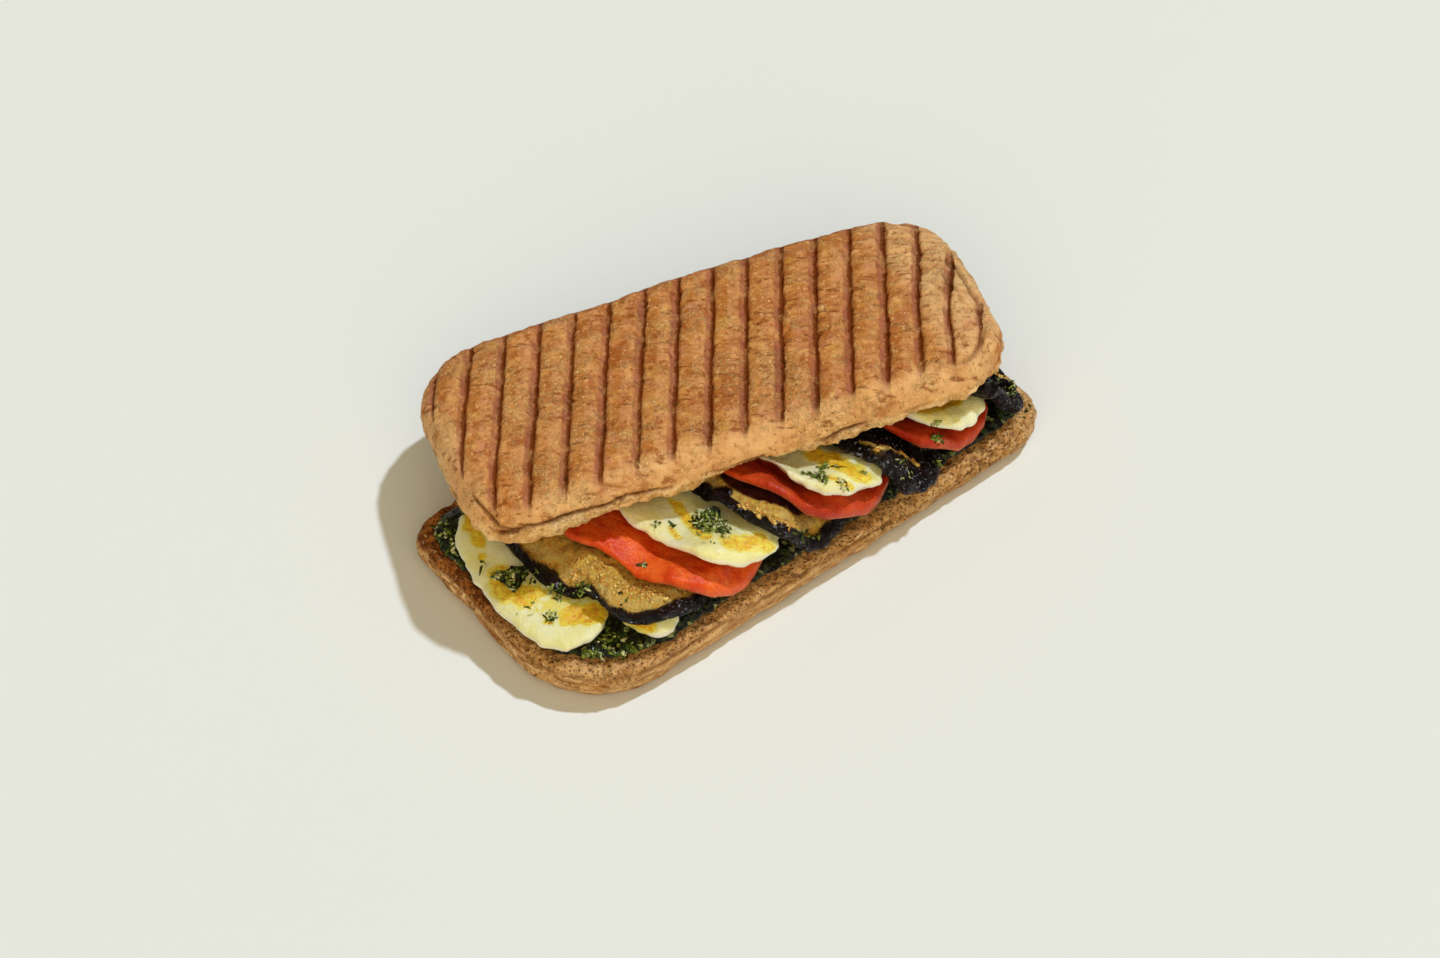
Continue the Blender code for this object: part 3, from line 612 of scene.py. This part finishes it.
def dress_lid(material):
    """Upper half: grill marks, wrinkles, flaky crust, torn dough below a lip, and creased ends."""
    piece = Piece("bread_lid", VOXEL_LID, 4)
    axes = np.array(Euler(LID_TURN).to_matrix())
    local = (piece.start - BASE_CENTRE - LID_CENTRE) @ axes
    upwards = (piece.normals() @ axes)[:, 2]
    u, v, w = local.T
    inset = inset_of(u, v, LID_SIZE, LID_CORNERS)
    top = ramp(upwards, 0.2, 0.5)
    # Grill marks, and the bulge of the strips between them
    cosine, sine = cos(GROOVE_ANGLE), sin(GROOVE_ANGLE)
    along = u * cosine + v * sine
    count = along / GROOVE_PITCH + (GROOVE_COUNT - 1) / 2
    nearest = np.clip(np.round(count), 0, GROOVE_COUNT - 1)
    wander = 0.3 * noise(local, 9, 31)
    off = (count - nearest) * GROOVE_PITCH + wander
    run_out = 3.2 + 3.5 * ramp(-v, 20, 34)
    fade = ramp(inset + 1.2 * noise(local, 6, 32), 1.2, run_out) * top
    fade = fade * (np.abs(off) < GROOVE_PITCH / 2 + 0.4)
    deeper = np.where((nearest == 0) | (nearest == GROOVE_COUNT - 1), 1.1, 0.4)
    height = -deeper * bell(off - 0.4, 1) * fade * ramp(inset, 0.5, 5)
    height += 0.55 * np.sin(pi * np.abs(off) / GROOVE_PITCH) * ramp(inset, 2.5, 9) * top
    # Cross wrinkles between the grill marks, more of them to the right
    slanted = np.stack([along, v * cosine - u * sine, w], axis=1)
    wrinkle = bell(noise(slanted, (9, 4, 9), 41, 2), 0.09)
    where = ramp(noise(local, 17, 43) + 0.25 * ramp(u, -20, 50), -0.05, 0.45) * top
    height -= 0.6 * wrinkle * where
    fold = bell(noise(slanted, (6, 2.2, 6), 36, 2), 0.12) * patchy(local, 10, 37, -0.1, 0.3) * top
    height -= 0.35 * fold
    # Flaky stretches
    flaky = patchy(local, 15, 47, 0.2, 0.55)
    for spot_u, spot_v in FLAKY_SPOTS:
        flaky = np.maximum(flaky, bell(np.hypot(u - spot_u, v - spot_v), 5))
    height += flaky * (0.45 * noise(local, 1.9, 48, 2) - 0.1)
    height += 0.42 * noise(local, 5, 49, 2) + 0.2 * noise(local, 1.8, 50, 2)
    # The lip between crust and torn dough around the lower edge
    front = ramp(-v, 33, 38)
    lip = front * np.interp(u, LIP_U, LIP_W) + (1 - front) * LIP_ELSEWHERE + 0.9 * noise(local, 6, 51, 2)
    side = 1 - ramp(upwards, 0.3, 0.6)
    dough = side * ramp(lip - w, 0, 0.6)
    ragged = ramp(noise(local, 12, 52) + 0.35 * front * (u < 0), -0.1, 0.3)
    crack = side * bell(w - lip, 0.45) * ragged
    height += dough * (0.4 + 1.1 * noise(local, 4.5, 53, 2) + 0.9 * noise(local, 1.9, 54, 2))
    height -= 1.1 * crack
    # Creases of the corners, the right end and the back edge
    crease = bell(path_distance(local, CORNER_CREASE), 0.6)
    height -= 1.1 * crease
    end = ramp(u, 58, 70) * top
    folds = bell(inset - 4.2 - 2.2 * noise(local, 14, 55), 0.6) * patchy(local, 12, 60, -0.5, -0.1)
    inner = 0.8 * bell(inset - 8.0 - 3.0 * noise(local, 11, 56), 0.5)
    folds += inner * patchy(local, 9, 61, -0.1, 0.3)
    height -= folds * end
    back_fold = bell(inset - 3.4 - 0.8 * noise(local, 20, 57), 0.5)
    back_fold *= ramp(v, 30, 34) * ramp(u, -5, 25) * top
    height -= 0.4 * back_fold
    piece.raise_by(height)
    drawn_in = ramp(u, 52, 80) * ramp(-v, -12, 26)
    piece.points += (drawn_in[:, None] * CORNER_PULL) @ axes.T
    back_edge = ramp(v, 24, 36) * (1 - ramp(inset, 3, 9))
    burnt = 0.6 * patchy(local, 6, 58, 0.25, 0.6, 2)
    pale = np.maximum.reduce([0.95 * end, 0.75 * front * (1 - dough), ramp(-u, 76, 83)])
    way = (count - GROOVE_COUNT // 2) * GROOVE_PITCH + wander
    masks = {
        "groove_fade": fade,
        # dark: painted shade in cracks, creases and folds
        "dark": np.maximum.reduce([crack * 0.95, crease * 0.9, 0.6 * folds * end, 0.4 * back_fold]),
        # flaky: where flaky crust lies, which takes the painted highlights of flakes
        "flaky": flaky,
        # brown: burnt patches and the darker back edge, with painted shade of wrinkles and folds
        "brown": np.maximum.reduce([0.5 * wrinkle * where, 0.4 * fold, burnt, 0.6 * back_edge]),
        "dough": dough * 0.95,
        "toast": ramp(-upwards, 0.5, 0.8) * ramp(inset, 2, 6) * 0.6,
        "pale": pale * (0.75 + 0.4 * noise(local, 5, 59)),
    }
    return piece.finish(material, "crust", masks, groove_way=way)


# How far the back of the right end is drawn in
RIGHT_END_PULL = 4.2
# Slant of the grill marks of the underside
UNDERSIDE_LEAN = 0.35


def pulled_in(points):
    """Points of the lower bread and what lies on it, the back of the right end drawn inwards."""
    share = ramp(points[:, 0], 62, 86) * ramp(points[:, 1], -56, -42)
    return points - share[:, None] * (RIGHT_END_PULL, 0, 0)


def dress_base(material):
    """Lower half: a creased side, a grainy torn rim, and faint grill marks below."""
    piece = Piece("bread_base", VOXEL_BASE, 4)
    local = piece.start - BASE_CENTRE
    x, y, z = local.T
    inset = inset_of(x, y, BASE_SIZE, BASE_CORNERS)
    top = ramp(z, 9.2, 11)
    side = ramp(z, 0.6, 2) * (1 - top)
    under = ramp(-piece.upwards, 0.6, 0.9)
    hollow, number = pits(local, 1.8, 61)
    pores = ramp(0.55 - hollow, 0, 0.35) * (number > 0.35)
    height = top * (0.9 * noise(local, 2.6, 62, 3) - 0.6 * pores)
    waves = noise(local, (16, 16, 3.2), 63, 2)
    height += side * (waves + 0.65 * noise(local, (5, 5, 1.8), 64, 2))
    # Open crumb at the right of the front, where the crust is torn
    torn = ramp(x, 8, 24) * (1 - ramp(x, 70, 84))
    torn = torn * ramp(-y, 20, 36) * ramp(z, 3.5, 6)
    torn = np.maximum(torn, 0.35 * patchy(local, 14, 66, 0.15, 0.5) * ramp(z, 3, 6))
    wide, wide_number = pits(local, (3.4, 3.4, 2.0), 65)
    holes = ramp(0.52 - wide, 0, 0.22) * (wide_number > 0.35) * torn * (1 - under)
    height -= 1.2 * holes
    height += torn * (1 - under) * 0.4 * noise(local, 1.8, 73, 2)
    # Creases along the side
    lip = bell(z - 9.4 - 1.3 * noise(local, 8, 67, 2), 0.5) * patchy(local, 16, 68, -0.2, 0.3)
    crease = bell(z - 5.6 - 1.6 * noise(local, 11, 76, 2), 0.45) * patchy(local, 13, 77, -0.1, 0.25)
    crease *= side
    height -= (lip + 0.7 * crease) * (1 - under)
    # Grill marks of the underside, which stays flat otherwise
    stripe = (((x + UNDERSIDE_LEAN * y) / GROOVE_PITCH) % 1.0 - 0.5) * GROOVE_PITCH
    marks = bell(stripe, 1.5) * under
    height -= 0.45 * marks
    height *= 1 - under * (1 - bell(stripe, 1.5))
    piece.raise_by(height)
    piece.points[:, 2] = np.maximum(piece.points[:, 2], 0.0)
    piece.points = pulled_in(piece.points)
    upper = ramp(z + 1.3 * noise(local, 5, 70, 2), 9.2, 10.8)
    left = ramp(-x, 58, 78) * ramp(y + 6 * noise(local, 12, 75), -16, 6)
    patches = patchy(local, 9, 74, 0.05, 0.4, 2)
    # Painted highlight along the upper edge of the side
    painted_edge_highlight = bell(z - 10.9 - 0.6 * noise(local, 5, 78), 0.55) * patchy(local, 6, 79, -0.25, 0.1, 2)
    burnt = 0.5 * patchy(local, 7, 71, 0.2, 0.55, 2)
    foot = 0.7 * (1 - ramp(z, 0.8, 3.4))
    pale_side = side * patchy(local, (20, 20, 4), 72, 0, 0.5, 2) * 0.7
    masks = {
        "groove": 0.8 * marks * (0.8 + 0.3 * noise(local, 12, 69)),
        "toast": upper * np.maximum.reduce([left, 0.2 * patches, 0.25 * ramp(inset, 3.4, 5.5)]),
        "crumb": np.maximum(upper, torn * (1 - under)),
        # dark: painted shade in pores, holes and the lip
        "dark": np.maximum.reduce([0.3 * pores * top, 0.6 * holes, 0.55 * lip * side]),
        # brown: burnt patches, darker towards the bottom, and painted shade in the lip and creases of the
        # side
        "brown": np.maximum.reduce([burnt, foot, 0.7 * lip, 0.7 * crease]),
        # pale: random pale patches on the side and a painted highlight along its upper edge
        "pale": np.maximum(pale_side, 0.8 * painted_edge_highlight * (1 - left)),
    }
    return piece.finish(material, "crust_base", masks)


def dress_pesto(node, material, voxel, lump_height, reach, flatten=1.0):
    """Herb paste. Its ragged border creeps outwards by reach, flatten is the share of height kept."""
    piece = Piece(node, voxel, 3)
    foot = piece.start[:, 2].min()
    piece.points[:, 2] = foot + (piece.points[:, 2] - foot) * flatten
    local = piece.start - BASE_CENTRE
    up = ramp(piece.normals()[:, 2], -0.3, 0.3)
    ragged = 0.5 + 0.9 * noise(local, 5, 84, 2) + 0.5 * noise(local, 2, 85)
    piece.spread_by(reach * (np.maximum(ragged, -0.3) if flatten == 1.0 else ragged - 0.9))
    hollow, number = pits(local, 2.3, 81)
    lumps = (0.62 - hollow) * (0.5 + number)
    fine_lumps = noise(local, 1.3, 83)
    piece.raise_by(up * lump_height * (lumps + 0.8 * noise(local, 3.5, 82, 3) + 0.6 * fine_lumps))
    piece.points = pulled_in(piece.points)
    masks = {"lump": ramp(lumps + 0.5 * fine_lumps, -0.2, 0.6)}
    return piece.finish(material, "pesto", masks)


# Fried patches of each halloumi slice: half width, strength and the path of the patch's middle
GOLDEN = {
    "halloumi_1": (
        (3.2, 0.9, ((-84, -10), (-84.8, -16), (-82.5, -21), (-79.5, -21.5))),
        (2.8, 2.0, ((-76, -34.5), (-70, -38.5))),
        (1.8, 0.85, ((-78, 14), (-80, 8), (-81.5, 4))),
        (1.0, 0.9, ((-83.5, -0.8), (-83.5, -1))),
        (0.9, 0.8, ((-82.5, -32), (-82, -32.5))),
        (2.4, 0.6, ((-72, -27), (-66, -31))),
        (5.0, 0.26, ((-83, -14), (-79, -28), (-71, -36)))),
    "halloumi_2": ((3.0, 1.6, ((-65.5, -46), (-63, -50))),),
    "halloumi_3": (
        (1.8, 0.9, ((-33, -27), (-34.5, -37), (-35, -44))),
        (2.6, 0.92, ((-31, -50), (-22, -53))),
        (1.2, 0.6, ((-40, -34), (-41, -39)))),
    "halloumi_4": (
        (3.4, 0.92, ((10.5, -45), (13.5, -50), (14.5, -53))),
        (1.2, 0.6, ((5, -52), (8, -56))),
        (2.4, 1.45, ((9.5, -39), (12.5, -43.5)))),
    "halloumi_5": ((2.6, 0.95, ((45, -46), (55, -46))),),
}
# From where to where the hidden back of a slice takes patches of its own
HIDDEN_BACK = {"halloumi_1": (14, 20)}
OTHER_HIDDEN_BACK = (-24, -16)


def dress_halloumi(node, material, seed):
    """Cheese slice: a wavy wall, shallow dents along the rim and fried patches."""
    piece = Piece(node, VOXEL_FILLING, 6)
    start = piece.start
    upwards = piece.upwards
    top = ramp(upwards, 0.1, 0.5)
    shift = np.stack([noise(start, 3.5, seed + step, 2) for step in (7, 8)], axis=1)
    golden = np.zeros(len(start))
    for half_width, strength, path in GOLDEN[node]:
        away = path_distance(start[:, :2] + 1.6 * shift, path) / half_width
        golden = np.maximum(golden, strength * (1 - ramp(away, 0.3, 1.7)))
    hidden = ramp(start[:, 1], *HIDDEN_BACK.get(node, OTHER_HIDDEN_BACK))
    golden = np.maximum(golden, 0.8 * patchy(start, 8, seed + 3, 0.2, 0.6, 2) * hidden)
    piece.spread_by(1.1 * noise(start, (6.5, 6.5, 60), seed) + 0.75 * noise(start, (2.8, 2.8, 9), seed + 9))
    height = 0.25 * noise(start, 6, seed + 1, 2) + 0.12 * noise(start, 1.8, seed + 2, 2)
    dent = 0.35 * bell(piece.rim_inset() - 1.5, 1.1) * top
    height -= dent * patchy(start, 7, seed + 4, -0.2, 0.4)
    height += golden * top * (0.25 * noise(start, 1.6, seed + 5, 2) - 0.15)
    piece.raise_by(height)
    rind = (1 - ramp(upwards, -0.5, -0.05)) * patchy(start, 3, seed + 6, -0.4, 0.2)
    masks = {"golden": golden * (0.2 + 0.8 * top), "rind": rind, "wall": 0.7 * (1 - top)}
    return piece.finish(material, "halloumi", masks)


# Each eggplant slice: width of the skin band that shows, and share of its upper face under skin
PEEL = {
    "eggplant_1": (2.7, 0.0), "eggplant_2": (3.1, 0.0),
    "eggplant_3": (3.0, 0.86), "eggplant_4": (3.0, 0.97),
}
# Strips of flesh that show through the skin, and patches of skin on the flesh: half width and path
CREST = {"eggplant_3": (0.6, ((22, -44), (24.2, -49.5), (29.6, -48.9), (32.0, -49.7), (36.9, -53.7)))}
PEEL_PATCH = {"eggplant_2": (3.6, ((-26, -26), (-24, -31), (-22.5, -34)))}
# How far the rim of a slice settles onto what lies below
RIM_DROP = {"eggplant_1": 1.6, "eggplant_2": 2.2, "eggplant_3": 1.4, "tomato_1": 1.3, "tomato_2": 0.8}
# Width of the golden flesh beside the skin band, beyond which painted shade darkens the flesh
FLESH_WIDTH = {"eggplant_2": 5.4}
# How much of the skin carries painted glints
GLINT_SHARE = {"eggplant_3": 0.5}
OTHER_GLINT_SHARE = 0.1
# Where the rim of a slice hangs further over the one below: middle, reach and shift
HANG = {"eggplant_1": ((-73, -18), 11, (-2.8, -1.6, -0.2))}


def dress_eggplant(node, material, seed):
    """Fried slice: cratered flesh inside a rolled band of skin, or under skin."""
    band_width, peel_share = PEEL[node]
    piece = Piece(node, VOXEL_FILLING, 4)
    start = piece.start
    flat = start[:, :2]
    upwards = piece.upwards
    inset = piece.rim_inset()
    # Skin, flesh that shows through it, and painted shade on the flesh beyond the golden strip
    ragged = inset + noise(start, 4, seed, 2)
    skin = 1 - ramp(ragged, band_width - 0.35, band_width + 0.15)
    crest = np.zeros(len(start))
    painted_gap_shade = np.zeros(len(start))
    if peel_share > 0:
        skin = np.maximum(skin, 1 - ramp(upwards, -0.5, -0.2))
        cover = 0.5 + 0.5 * noise(start, 7, seed + 2, 2)
        skin = np.maximum(skin, ramp(cover, 1 - peel_share - 0.08, 1 - peel_share + 0.08))
    if node in PEEL_PATCH:
        half_width, path = PEEL_PATCH[node]
        away = path_distance(flat, path) + noise(start, 3, seed + 9)
        skin = np.maximum(skin, 1 - ramp(away, half_width - 0.4, half_width + 0.4))
    if node in FLESH_WIDTH:
        end_of_flesh = band_width + FLESH_WIDTH[node]
        painted_gap_shade = ramp(ragged, end_of_flesh - 0.4, end_of_flesh + 0.8)
    if node in CREST:
        half_width, path = CREST[node]
        away = path_distance(flat, path) + 0.5 * noise(start, 2.5, seed + 10)
        crest = 1 - ramp(away, half_width * 0.6, half_width * 1.2)
        crest *= ramp(upwards, 0, 0.3)
        skin *= 1 - crest
    flesh = 1 - skin
    # Relief
    hollow, number = pits(start, (2.1, 2.1, 1.6), seed + 3)
    craters = ramp(0.55 - hollow, 0, 0.4) * (number > 0.25)
    roll = (1 - ramp(inset, band_width - 1, band_width + 0.4)) * ramp(upwards, -0.6, 0.2)
    piece.spread_by(1.0 + 0.5 * noise(start, (6, 6, 30), seed + 11, 2))
    height = flesh * (0.75 * noise(start, 2.4, seed + 4, 3) - 0.7 * craters)
    height += roll * (0.45 + 0.9 * noise(start, (3.6, 3.6, 2.2), seed + 5, 2))
    groove = 0.55 * bell(inset - band_width - 0.5, 0.5) * (peel_share == 0)
    height -= groove * ramp(upwards, 0.1, 0.5)
    crinkle = bell(noise(start, (3.2, 7, 3.2), seed + 7, 2), 0.16)
    height += skin * (0.32 * noise(start, 1.6, seed + 6, 2) + peel_share * (1.1 * crinkle - 0.4))
    height += skin * peel_share * 0.8 * noise(start, (3.5, 6, 4), seed + 14, 2)
    height += 0.5 * crest
    piece.raise_by(height)
    piece.settle()
    if node in HANG:
        middle, reach, way = HANG[node]
        hang = bell(np.hypot(*(flat - middle).T), reach) * (1 - ramp(inset, 0, 9))
        piece.points += hang[:, None] * way
    piece.points = pulled_in(piece.points)
    # A golden band beside the skin: partly fried colour, partly painted light
    fried_and_lit_edge = 0.85 * flesh * bell(inset - band_width - 2.2, 1.3)
    fried_and_lit_edge *= patchy(start, 3, seed + 12, -0.35, 0.1, 2)
    glint_share = GLINT_SHARE.get(node, OTHER_GLINT_SHARE)
    masks = {
        "skin": skin,
        # hollow: painted shade in the craters
        "hollow": flesh * craters * (1 - crest),
        "painted_gap_shade": painted_gap_shade,
        "painted_glints": ramp(noise(start, 6, seed + 13, 2) + glint_share, 0, 0.4),
        "crest": 0.85 * np.maximum(crest, fried_and_lit_edge),
        "charred": skin * patchy(start, 5, seed + 8, 0.1, 0.5, 2) * 0.7,
    }
    return piece.finish(material, "eggplant", masks)


# How much of the deeper red shows
TOMATO_DEPTH = {"tomato_1": 0.0, "tomato_2": 0.9, "tomato_3": 0.95}


def dress_tomato(node, material, seed):
    """Tomato slice with a paler wall at its right end."""
    piece = Piece(node, VOXEL_FILLING, 8)
    start = piece.start
    x, y, _ = start.T
    upwards = piece.upwards
    piece.spread_by(0.4 * noise(start, (7, 7, 40), seed + 4, 2))
    piece.raise_by(0.3 * noise(start, 7, seed, 2) + 0.09 * noise(start, 2.0, seed + 1, 2))
    piece.settle()
    low_wall = 0.5 * (1 - ramp(upwards, -0.35, 0.15)) * patchy(start, 6, seed + 2, -0.4, 0.3)
    right_end = ramp(x - x.mean() + 0.4 * (y + 45), 6, 16)
    lower_front = ramp(-y, 44, 54) * (1 - ramp(upwards, 0.1, 0.6))
    masks = {
        "pale": np.maximum(low_wall, 0.75 * right_end * lower_front),
        "deep": TOMATO_DEPTH[node] * (0.7 + 0.3 * noise(start, 7, seed + 3)),
    }
    return piece.finish(material, "tomato", masks)


def surface_tree(pieces):
    """All fine pieces as one tree, with each face's piece number."""
    points, faces, owner = [], [], []
    for number, piece in enumerate(pieces):
        faces += (piece.faces + len(points)).tolist()
        points += map(Vector, piece.points.tolist())
        owner += [number] * len(piece.faces)
    return BVHTree.FromPolygons(points, faces), owner


FLAKE_SIDES = 6
# Height above the whole sandwich, from which places for flakes are looked for
DROP_HEIGHT = 90


def scatter(name, ground, allowed, spots, flake, tones, seed, material):
    """Small closed flakes on the allowed pieces, under points drawn around spots, as one mesh.

    ground is what surface_tree gives. A spot is x, y, reach and how many. flake is the least and the
    greatest half width, the thickness as a share of it, and the greatest length as a multiple.
    """
    tree, owner = ground
    least, greatest, flatness, longest = flake
    draw = np.random.default_rng(seed)
    swings = [tau * step / FLAKE_SIDES for step in range(FLAKE_SIDES)]
    points = []
    faces = []
    tone_of = []
    for x, y, reach, many in spots:
        for _ in range(many):
            angle = draw.uniform(0, tau)
            away = reach * sqrt(draw.uniform(0, 1))
            size = draw.uniform(least, greatest)
            length = size * draw.uniform(1.0, longest)
            turn = draw.uniform(0, tau)
            lean = draw.normal(0, 0.35, 2)
            edge = draw.uniform(0.65, 1.2, FLAKE_SIDES)
            tone = draw.choice(tones) + draw.uniform(-0.08, 0.08)
            spot = Vector((x + away * cos(angle), y + away * sin(angle), DROP_HEIGHT))
            hit, normal, face, _ = tree.ray_cast(spot, Vector((0, 0, -1)))
            if hit is None or owner[face] not in allowed:
                continue
            normal = (normal + Vector((lean[0], lean[1], 0))).normalized()
            side = normal.cross(Vector((cos(turn), sin(turn), 0.1))).normalized()
            along = normal.cross(side)
            thick = size * flatness
            middle = hit + normal * thick * 0.3
            first = len(points)
            for swing, share in zip(swings, edge):
                points.append(middle + along * length * share * cos(swing)
                              + side * size * share * sin(swing)
                              + normal * thick * 0.5 * sin(2 * swing + turn))
            points += [middle + normal * thick, middle - normal * thick]
            upper = first + FLAKE_SIDES
            for step in range(FLAKE_SIDES):
                here, following = first + step, first + (step + 1) % FLAKE_SIDES
                faces += [(here, following, upper), (following, here, upper + 1)]
            tone_of += [tone] * (FLAKE_SIDES + 2)
    points = [tuple(point * MM) for point in points]
    add_mesh(name, points, faces, {"tone": np.clip(tone_of, 0, 1)}, material)


def crumb_material(name, dark, light):
    look = Look(name)
    fine = look.noise(0.5, 3)
    look.base = look.mix(look.mask("tone"), dark, light)
    look.tint(dark, fine, 0.55, 0.35, 0.5)
    return look.finish(0.7, fine, 0.4, Specular_IOR_Level=0.3)


# Step of the noise seed from one slice to the next of its kind
SEED_STEP = 20


def dress_sandwich():
    """All fine pieces by node."""
    pieces = {"bread_lid": dress_lid(lid_material()), "bread_base": dress_base(base_material())}
    green = pesto_material()
    pieces["pesto"] = dress_pesto("pesto", green, VOXEL_PESTO, lump_height=0.8, reach=1.5)
    for node in ("herbs_1", "herbs_2"):
        pieces[node] = dress_pesto(node, green, VOXEL_HERBS, lump_height=0.9, reach=2.8, flatten=0.32)
    for kind, count, dress, material, seed in (
        ("halloumi", 5, dress_halloumi, halloumi_material(), 120),
        ("eggplant", 4, dress_eggplant, eggplant_material(), 320),
        ("tomato", 3, dress_tomato, tomato_material(), 520),
    ):
        for number in range(count):
            node = f"{kind}_{number + 1}"
            pieces[node] = dress(node, material, seed + SEED_STEP * number)
    return pieces


# Spots of flakes: x, y, reach and how many
HERB_SPOTS = (
    (-84, -9.5, 1.6, 40), (-81, -10, 2.6, 110), (-78.5, -11.5, 2.6, 110), (-76.5, -11, 1.8, 50),
    (-84, -4, 2.5, 16), (-77, -16, 2.4, 24), (-75, -26, 2.5, 22), (-70, -31, 2.5, 16),
    (-80.8, -30.8, 1.5, 26), (-84, -24, 5, 6), (-31.4, -37.6, 3.6, 60), (-30.2, -40.5, 4.6, 90),
    (-29, -44.5, 2.6, 44), (-39, -33.4, 1.3, 10), (-42.4, -30.7, 1.3, 10), (-33, -45, 5, 12),
    (6.9, -45.6, 1.4, 16), (2.9, -49.1, 2.6, 50), (6, -55.5, 1.7, 14), (15.7, -53, 1.1, 9),
    (0.2, -45.5, 1.5, 12), (10.5, -48, 1.2, 6), (44.2, -48, 1.6, 30), (43.8, -52, 1.8, 50),
    (43, -55, 1.6, 24), (56, -52, 5, 12), (30, -57, 4, 16), (-52.7, -38.5, 1.0, 9), (-63, -42, 3, 6),
    (-8, -57, 5, 30), (76, -49, 5, 36), (78, -44, 4, 12),
)
FRIED_SPOTS = [(75.2, -38.2, 1.8, 24), (77.4, -40.4, 1.8, 30), (79, -42.6, 1.2, 14), (56, -50.5, 2.5, 8)]
# More of them: reach, how many, and where
FRIED_ROWS = (
    (1.2, 9, ((24.2, -49.3), (27, -49), (30, -49), (33, -50.5), (36, -53))),
    (3.6, 26, ((-69, -18), (-67, -25), (-64, -31), (-62.5, -38), (-59, -43.5), (-56, -48))),
    (1.6, 16, ((-20, -42.5), (-18, -47), (-16, -51), (-13, -54.5))),
)


def dust_sandwich(pieces):
    """Chopped herbs, crumbs and fried bits."""
    ground = surface_tree(pieces.values())

    def numbers(*starts):
        return {i for i, name in enumerate(pieces) if name.startswith(starts)}

    leaf = leaf_material()
    crumb = crumb_material("crumbs_look", (120, 68, 36), (222, 172, 116))
    fried = crumb_material("fried_bits_look", (196, 112, 22), (255, 226, 124))
    spots = []
    for x in range(-88, 84, 6):
        spots += [(x, -51, 5, 70), (x, -44, 5, 40)]
    for y in range(-42, 24, 6):
        spots += [(-85, y, 5, 50), (80, y, 5, 40)]
    spots += [(-1, -52, 3, 90), (13, -55, 2.5, 90)]
    tones = (0.05, 0.15, 0.35, 0.55, 0.7, 0.8, 0.97)
    scatter("pesto_flecks", ground, numbers("pesto", "herbs"), spots, (0.3, 0.85, 0.25, 2.8),
            tones, 401, leaf)
    spots = [(x, -53.8, 1.6, 5) for x in range(-62, 70, 4)]
    spots += [(-86.5, y, 1.6, 5) for y in range(-40, 24, 4)] + [(78, -50, 5, 16)]
    scatter("rim_flecks", ground, numbers("bread_base"), spots, (0.25, 0.6, 0.25, 2.0),
            (0.05, 0.1, 0.3, 0.5), 404, leaf)
    slices = numbers("halloumi", "tomato", "eggplant", "herbs")
    tones = (0.1, 0.3, 0.45, 0.6, 0.7, 0.8, 0.9, 0.97)
    scatter("herb_flecks", ground, slices, HERB_SPOTS, (0.28, 0.62, 0.25, 4.2), tones, 402, leaf)
    spots = [(x, -56.5, 2.2, 6) for x in range(-84, 82, 4)]
    spots += [(-91, y, 2.2, 6) for y in range(-44, 24, 4)]
    scatter("crumbs", ground, numbers("bread_base"), spots, (0.2, 0.5, 0.6, 2.0),
            (0.1, 0.3, 0.6, 0.9), 403, crumb)
    spots = FRIED_SPOTS + [(*place, reach, many) for reach, many, places in FRIED_ROWS for place in places]
    scatter("fried_bits", ground, numbers("eggplant"), spots, (0.3, 0.75, 0.4, 2.0),
            (0.3, 0.5, 0.7, 0.9), 405, fried)


def add_sun(name, level, elevation, power, angle, tint, sheen=True):
    """Distant light that comes from the bearing of level, at a height angle."""
    towards = level * cos(elevation) + Vector((0, 0, sin(elevation)))
    light = bpy.data.lights.new(name, "SUN")
    light.energy = power
    light.angle = angle
    light.color = tint
    lamp = add_object(name, light)
    lamp.rotation_euler = towards.to_track_quat("Z", "Y").to_euler()
    lamp.visible_glossy = sheen


def add_stage():
    """Pale floor, warm sky, cool key light from behind right, broad fill from the front, camera."""
    scene = bpy.context.scene
    bpy.ops.mesh.primitive_plane_add(size=FLOOR_SIZE, location=(0, 0, 0))
    floor = bpy.context.object
    floor.name = "floor"
    look = Look("floor_look")
    look.base = look.mix(look.noise(300, 2), FLOOR_COLOUR, tuple(c + 2 for c in FLOOR_COLOUR))
    floor.data.materials.append(look.finish(0.6, look.noise(40, 1), 0.01, Specular_IOR_Level=0.2))

    world = bpy.data.worlds.new("sky")
    world.use_nodes = True
    sky = world.node_tree.nodes["Background"]
    sky.inputs["Color"].default_value = SKY_COLOUR
    sky.inputs["Strength"].default_value = SKY_POWER
    scene.world = world

    cosine, sine = cos(CAMERA_AZIMUTH), sin(CAMERA_AZIMUTH)
    right = Vector((cosine, sine, 0))
    away = Vector((-sine, cosine, 0))
    from_behind = away * cos(KEY_BEARING) + right * sin(KEY_BEARING)
    add_sun("key", from_behind, KEY_ELEVATION, KEY_POWER, KEY_ANGLE, KEY_COLOUR)
    add_sun("fill", -away, FILL_ELEVATION, FILL_POWER, FILL_ANGLE, FILL_COLOUR, sheen=False)

    back = Vector((0, 0, sin(CAMERA_ELEVATION))) - away * cos(CAMERA_ELEVATION)
    camera = add_object("camera", bpy.data.cameras.new("camera"))
    camera.data.lens = CAMERA_LENS
    camera.location = Vector(CAMERA_TARGET * MM) + back * CAMERA_DISTANCE * MM
    camera.rotation_euler = back.to_track_quat("Z", "Y").to_euler()
    scene.camera = camera
    scene.view_settings.view_transform = "Standard"


dressed = dress_sandwich()
dust_sandwich(dressed)
add_stage()
